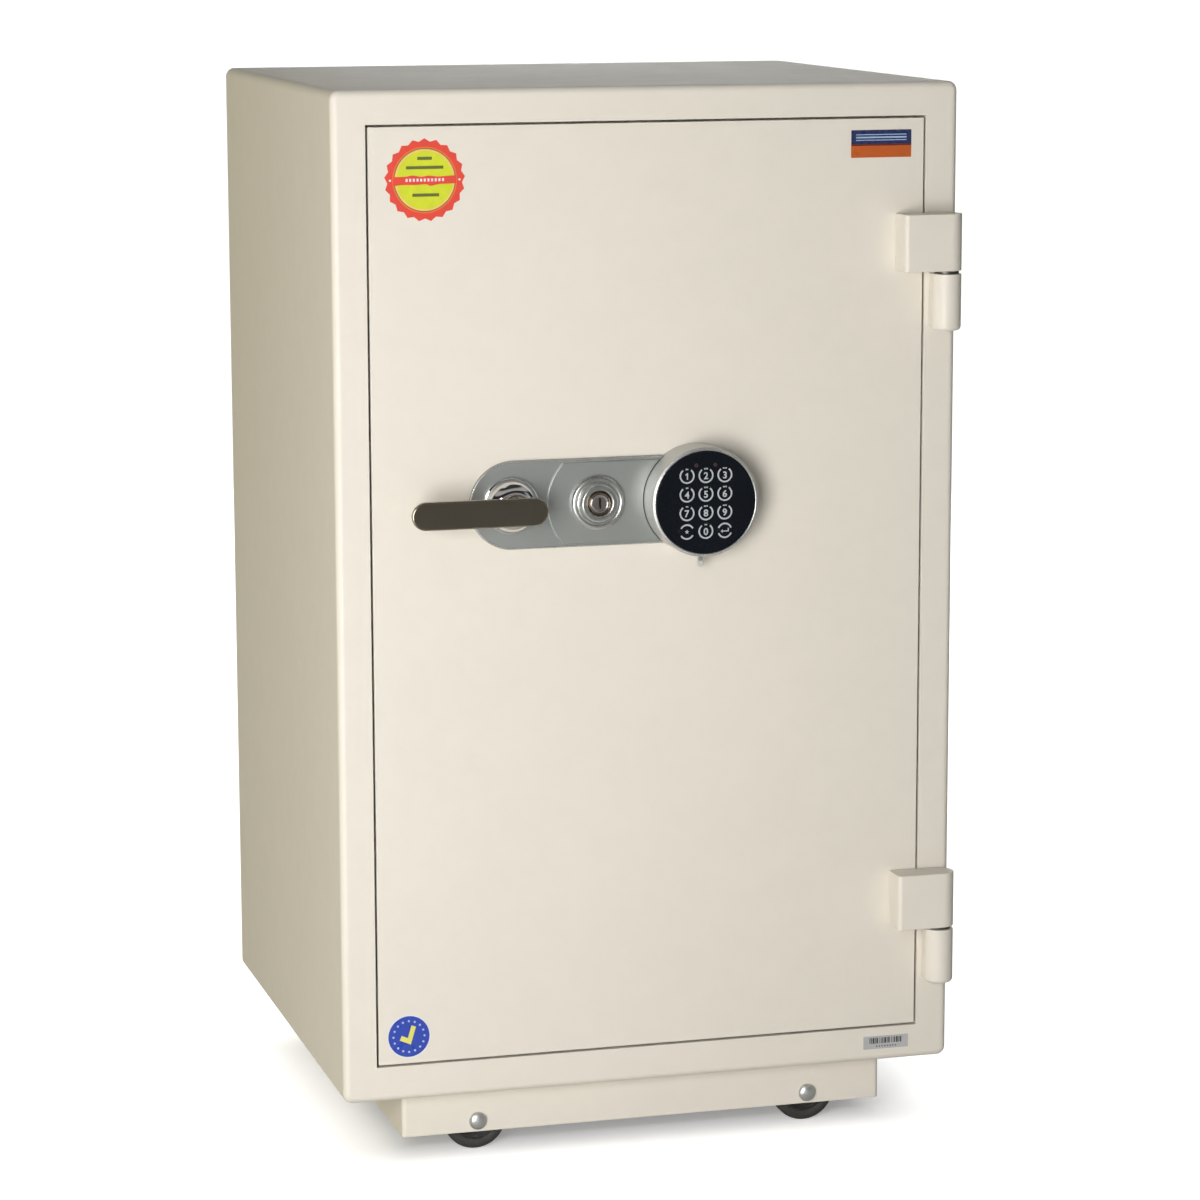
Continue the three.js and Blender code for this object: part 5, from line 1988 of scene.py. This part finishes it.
@dataclass
class Stickers:
    """Plain generic stickers on the front, with no words on them."""

    film: float = 0.12 * MM
    layer: float = 0.05 * MM
    seal_points: int = 21
    seal_radius: float = 34.5 * MM
    seal_in: float = 47.6 * MM
    seal_down: float = 43.9 * MM
    plate_size: Point = (54.4 * MM, 23.5 * MM)
    plate_in: float = 11.2 * MM
    plate_down: float = 9.4 * MM
    disc_radius: float = 19 * MM
    disc_in: float = 26.1 * MM
    disc_up: float = 23.6 * MM
    disc_dots: int = 16
    strip_size: Point = (42.0 * MM, 11.8 * MM)
    strip_in: float = 36.5 * MM
    strip_up: float = 11.0 * MM

    def build(self) -> None:
        """Puts the four stickers on."""
        self.round_seal()
        self.colour_plate()
        self.blue_disc()
        self.bar_strip()

    def print_layer(self, name: str, outlines: Sequence[Sequence[Point]], level: int, ink: Finish,
                    body: str = "door") -> None:
        """One printed colour of a sticker.

        Args:
            name: Name of the piece.
            outlines: Its shapes, in X and Z.
            level: 0 for the film itself, and one more for each ink over it.
            ink: Its colour.
            body: The body that the sticker is on.
        """
        wall = Span.of("door_skin").low.y
        front = wall - self.film - level * self.layer
        back = wall if level == 0 else front + self.layer * 0.8
        shapes = [prism("print", outline, FRONT, front, back) for outline in outlines]
        install(merge(name, shapes), body, ink)

    def bar(self, x: float, z: float, width: float, height: float) -> list[Point]:
        """A small rectangle about its middle."""
        return block(x - width / 2, x + width / 2, z - height / 2, z + height / 2)

    def round_seal(self) -> None:
        """A round seal with a toothed red rim, a yellow middle and a red band across."""
        door = Span.of("door_skin")
        x, z = door.low.x + self.seal_in, door.high.z - self.seal_down
        r = self.seal_radius
        teeth = pointed((x, z), self.seal_points, r, 0.925)
        self.print_layer("seal_film", [teeth], 0, Ink.RED)
        rings = [(0.80, Ink.ORANGE, "seal_orange"), (0.765, Ink.OLIVE, "seal_line"),
                 (0.745, Ink.CREAM, "seal_cream"), (0.705, Ink.YELLOW, "seal_yellow")]
        for level, (share, ink, name) in enumerate(rings, start=1):
            self.print_layer(name, [arc((x, z), r * share, 0, 356, 89)], level, ink)
        reach = r * 0.78
        waves = [(-1.0, 0.11), (-0.62, 0.11), (-0.4, 0.15), (-0.1, 0.10), (0.12, 0.14), (0.4, 0.10),
                 (1.0, 0.13), (1.0, -0.12), (0.45, -0.13), (0.18, -0.19), (0.05, -0.13), (-0.3, -0.15),
                 (-0.7, -0.14), (-1.0, -0.17)]
        band = soften([(x + reach * a, z + reach * b) for a, b in waves], 1.2 * MM, steps=3)
        self.print_layer("seal_band", [band], 5, Ink.RED)
        lines = [(0.0, 0.52, 0.36), (0.0, 0.30, 0.92), (0.02, -0.36, 0.66)]
        dark = [self.bar(x + r * a, z + r * b, r * width, r * 0.075) for a, b, width in lines]
        self.print_layer("seal_lines", dark, 5, Ink.OLIVE)
        dots = [arc((x + side * r * 0.86, z), r * 0.028, 0, 345, 23) for side in (-1, 1)]
        pale = [self.bar(x + r * 0.09 * k, z, r * 0.05, r * 0.07) for k in range(-5, 6)]
        self.print_layer("seal_dashes", dots + pale, 6, Ink.WHITE)

    def colour_plate(self) -> None:
        """A small two-colour plate with a dark line between its halves."""
        door = Span.of("door_skin")
        width, height = self.plate_size
        x1, z1 = door.high.x - self.plate_in, door.high.z - self.plate_down
        x0, z0 = x1 - width, z1 - height
        self.print_layer("plate_film", [rounded_rect(x0, x1, z0, z1, 0.5 * MM, 3)], 0, Ink.RUST)
        split = z0 + height * 0.46
        self.print_layer("plate_upper", [rounded_rect(x0, x1, split, z1, 0.5 * MM, 3)], 1, Ink.NAVY)
        middle = (x0 + x1) / 2
        line = self.bar(middle, split, width, 1.5 * MM)
        blocks = [self.bar(middle, z1 - height * 0.27, width * 0.84, height * 0.055)]
        blocks += [self.bar(middle, z1 - height * 0.17, width * 0.84, height * 0.03)]
        blocks += [self.bar(middle, z1 - height * 0.37, width * 0.84, height * 0.03)]
        self.print_layer("plate_line", [line], 2, Ink.MAROON)
        self.print_layer("plate_stripes", blocks, 2, Ink.PALE_BLUE)

    def blue_disc(self) -> None:
        """A round blue sticker with a ring of pale dots and a plain yellow mark."""
        door = Span.of("door_skin")
        x, z = door.low.x + self.disc_in, door.low.z + self.disc_up
        r = self.disc_radius
        self.print_layer("disc_edge", [arc((x, z), r, 0, 355, 71)], 0, Ink.WHITE)
        self.print_layer("disc_field", [arc((x, z), r * 0.955, 0, 355, 71)], 1, Ink.BLUE)
        spots = [polar((x, z), r * 0.72, 360 * k / self.disc_dots) for k in range(self.disc_dots)]
        dots = [arc(spot, r * 0.05, 0, 340, 17) for spot in spots]
        self.print_layer("disc_dots", dots, 2, Ink.PALE_BLUE)
        tilt = math.radians(24)
        tick = [(-0.46, 0.03), (-0.28, 0.19), (-0.08, -0.04), (0.32, 0.42), (0.48, 0.27), (-0.08, -0.38)]
        turned = [(x + r * (a * math.cos(tilt) - b * math.sin(tilt)),
                   z + r * (a * math.sin(tilt) + b * math.cos(tilt)))
                  for a, b in tick]
        self.print_layer("disc_tick", [turned], 2, Ink.LEMON)

    def bar_strip(self) -> None:
        """A small grey strip with a row of bars, on the frame under the door."""
        case = Span.of("outer_shell")
        width, height = self.strip_size
        x1, z0 = case.high.x - self.strip_in, case.low.z + self.strip_up
        x0, z1 = x1 - width, z0 + height
        self.print_layer("strip_film", [rounded_rect(x0, x1, z0, z1, 0.6 * MM, 3)], 0, Ink.GREY, "cabinet")
        bars = []
        place = x0 + width * 0.14
        step = 0
        widths = (0.5, 0.9, 0.4, 1.2, 0.6, 0.4, 1.0, 0.5)
        while place < x1 - width * 0.14:
            bar = widths[step % len(widths)] * MM
            bars.append(self.bar(place, z1 - height * 0.36, bar, height * 0.44))
            place += bar + widths[(step * 3 + 1) % len(widths)] * MM
            step += 1
        dashes = [self.bar(x0 + width * (0.3 + 0.06 * k), z0 + height * 0.2, 1.2 * MM,
                           1.0 * MM) for k in range(8)]
        self.print_layer("strip_bars", bars + dashes, 1, Ink.BLACK, "cabinet")


# ---------------------------------------------------------------- studio


@dataclass(frozen=True)
class SoftBox:
    """One square area light."""

    name: str
    place: Vector
    aim: Vector
    size: Point
    power: float
    colour: Colour = (1.0, 1.0, 1.0)

    def light(self) -> None:
        """Puts the light into the scene."""
        data = bpy.data.lights.new(self.name, "AREA")
        data.shape = "RECTANGLE"
        data.size, data.size_y = self.size
        data.energy = self.power
        data.color = self.colour
        lamp = bpy.data.objects.new(self.name, data)
        lamp.location = self.place
        lamp.rotation_euler = (self.aim - self.place).to_track_quat("-Z", "Y").to_euler()
        bpy.context.scene.collection.objects.link(lamp)


@dataclass
class Studio:
    """A pale floor, soft lights, a plain surround and the camera."""

    lens: float = 119.63
    sensor: float = 36.0
    stand: Vector = field(default_factory=lambda: Vector((-0.9507, -3.4527, 1.0772)))
    yaw: float = 15.615
    pitch: float = 9.932
    roll: float = -0.147
    floor_reach: float = 80.0
    # half size of the box round the safe where the floor glows least: a painted shadow
    shaded: tuple[float, float, float] = (0.205, 0.155, 0.0)

    def build(self) -> None:
        """Sets the studio up."""
        self.camera()
        self.floor()
        self.surround()
        middle = Vector((-0.05, 0.0, 0.5))
        for box in (
            SoftBox("key_light", Vector((-1.2, -2.1, 0.52)), middle, (0.9, 1.5), 51.5, (1.0, 0.99, 0.985)),
            SoftBox("fill_light", Vector((2.6, -2.4, 1.5)), middle, (1.2, 1.8), 2.0, (0.90, 0.97, 1.0)),
            SoftBox("top_light", Vector((-0.5, 0.5, 3.0)), middle, (2.2, 1.6), 7.0, (0.97, 1.0, 1.0)),
            SoftBox("side_light", Vector((-3.0, 0.9, 1.0)), middle, (1.4, 1.8), 11.0, (1.0, 0.85, 0.22)),
            SoftBox("rear_light", Vector((1.3, 3.4, 0.9)), middle, (1.8, 1.8), 24.0),
        ):
            box.light()
        bpy.context.scene.view_settings.view_transform = "Standard"

    def camera(self) -> None:
        """The camera, looking a little down and to the right."""
        data = bpy.data.cameras.new("view")
        data.lens = self.lens
        data.sensor_width = self.sensor
        data.clip_end = 200.0
        camera = bpy.data.objects.new("view", data)
        camera.location = self.stand
        aim = Matrix.Rotation(math.radians(-self.yaw), 3,
                              "Z") @ Matrix.Rotation(math.radians(90 - self.pitch), 3, "X")
        camera.rotation_euler = (aim @ Matrix.Rotation(math.radians(self.roll), 3, "Z")).to_euler()
        bpy.context.scene.collection.objects.link(camera)
        bpy.context.scene.camera = camera

    def floor(self) -> None:
        """A wide white floor that keeps a soft shadow under the wheels, deepened by a painted shadow where
        its glow fades round the safe.
        """
        reach = self.floor_reach
        outline = block(-reach, reach, -reach, reach)
        ground = prism("studio_floor", outline, LEVEL, -0.05, 0.0)
        ground.data.materials.append(self.floor_material())

    def floor_material(self) -> bpy.types.Material:
        """Matt white that glows a little for the camera, so that it stays pale far from the lights; the glow
        fades near the safe, a painted shadow round its footprint.

        Returns:
            The material.
        """
        made = bpy.data.materials.new("studio_floor_paper")
        made.use_nodes = True
        board = NodeBoard(made.node_tree)
        shader = made.node_tree.nodes["Principled BSDF"]
        shader.inputs["Roughness"].default_value = 0.9
        shader.inputs["Specular IOR Level"].default_value = 0.1
        shader.inputs["Emission Color"].default_value = (1.0, 1.0, 0.995, 1.0)
        seen = board.add("ShaderNodeLightPath").outputs["Is Camera Ray"]
        paper = board.mix(seen, (0.70, 0.70, 0.69, 1.0), (0.86, 0.86, 0.855, 1.0))
        board.feed(paper, shader, "Base Color")
        place = board.place()
        # painted shadow: the glow is weakest inside a box round the safe's footprint and full 0.11 m outside
        # it
        away = board.add("ShaderNodeVectorMath", {0: place}, operation="ABSOLUTE").outputs["Vector"]
        away = board.add("ShaderNodeVectorMath", {0: away, 1: self.shaded},
                         operation="SUBTRACT").outputs["Vector"]
        away = board.add("ShaderNodeVectorMath", {0: away, 1: (0.0, 0.0, 0.0)},
                         operation="MAXIMUM").outputs["Vector"]
        away = board.add("ShaderNodeVectorMath", {0: away}, operation="LENGTH").outputs["Value"]
        glow_with_painted_shadow = board.math("MULTIPLY", seen, board.spread(away, 0.0, 0.11, 0.24, 1.0))
        board.feed(glow_with_painted_shadow, shader, "Emission Strength")
        return made

    def surround(self) -> None:
        """White where the camera sees it, and a grey studio in every reflection."""
        world = bpy.data.worlds.new("studio")
        bpy.context.scene.world = world
        world.use_nodes = True
        world.node_tree.nodes.clear()
        board = NodeBoard(world.node_tree)
        height = board.add("ShaderNodeSeparateXYZ", {0: board.add("ShaderNodeTexCoord").outputs["Generated"]})
        ramp = board.add("ShaderNodeValToRGB", {"Fac": board.spread(height.outputs["Z"], -0.2, 1.0)})
        stops = [(0.0, 0.05), (0.17, 0.06), (0.22, 0.30), (0.34, 0.26), (0.42, 0.03), (0.60, 0.02),
                 (0.66, 0.42), (0.80, 0.38), (0.88, 0.03), (1.0, 0.05)]
        elements = ramp.color_ramp.elements
        while len(elements) < len(stops):
            elements.new(0.5)
        for element, (position, grey) in zip(elements, stops):
            element.position = position
            element.color = (grey, grey, grey * 0.98, 1.0)
        seen = board.add("ShaderNodeLightPath").outputs["Is Camera Ray"]
        room = board.add("ShaderNodeBackground", {"Color": ramp.outputs[0], "Strength": 1.0})
        white = board.add("ShaderNodeBackground", {"Color": (1.0, 1.0, 1.0, 1.0), "Strength": 1.05})
        both = board.add("ShaderNodeMixShader", {0: seen, 1: room.outputs[0], 2: white.outputs[0]})
        board.add("ShaderNodeOutputWorld", {"Surface": both.outputs[0]})


# ---------------------------------------------------------------- the whole object


def main() -> None:
    """Builds the studio, then the safe from the case inwards."""
    logging.basicConfig(level=logging.INFO, format="%(name)s: %(message)s")
    for part in (Studio(), Cabinet(), RunningGear(), Hinges(), Door(), Boltwork(), LockFurniture(), Keypad(),
                 Stickers()):
        LOG.info("building %s", type(part).__name__)
        part.build()


if __name__ == "__main__":
    main()
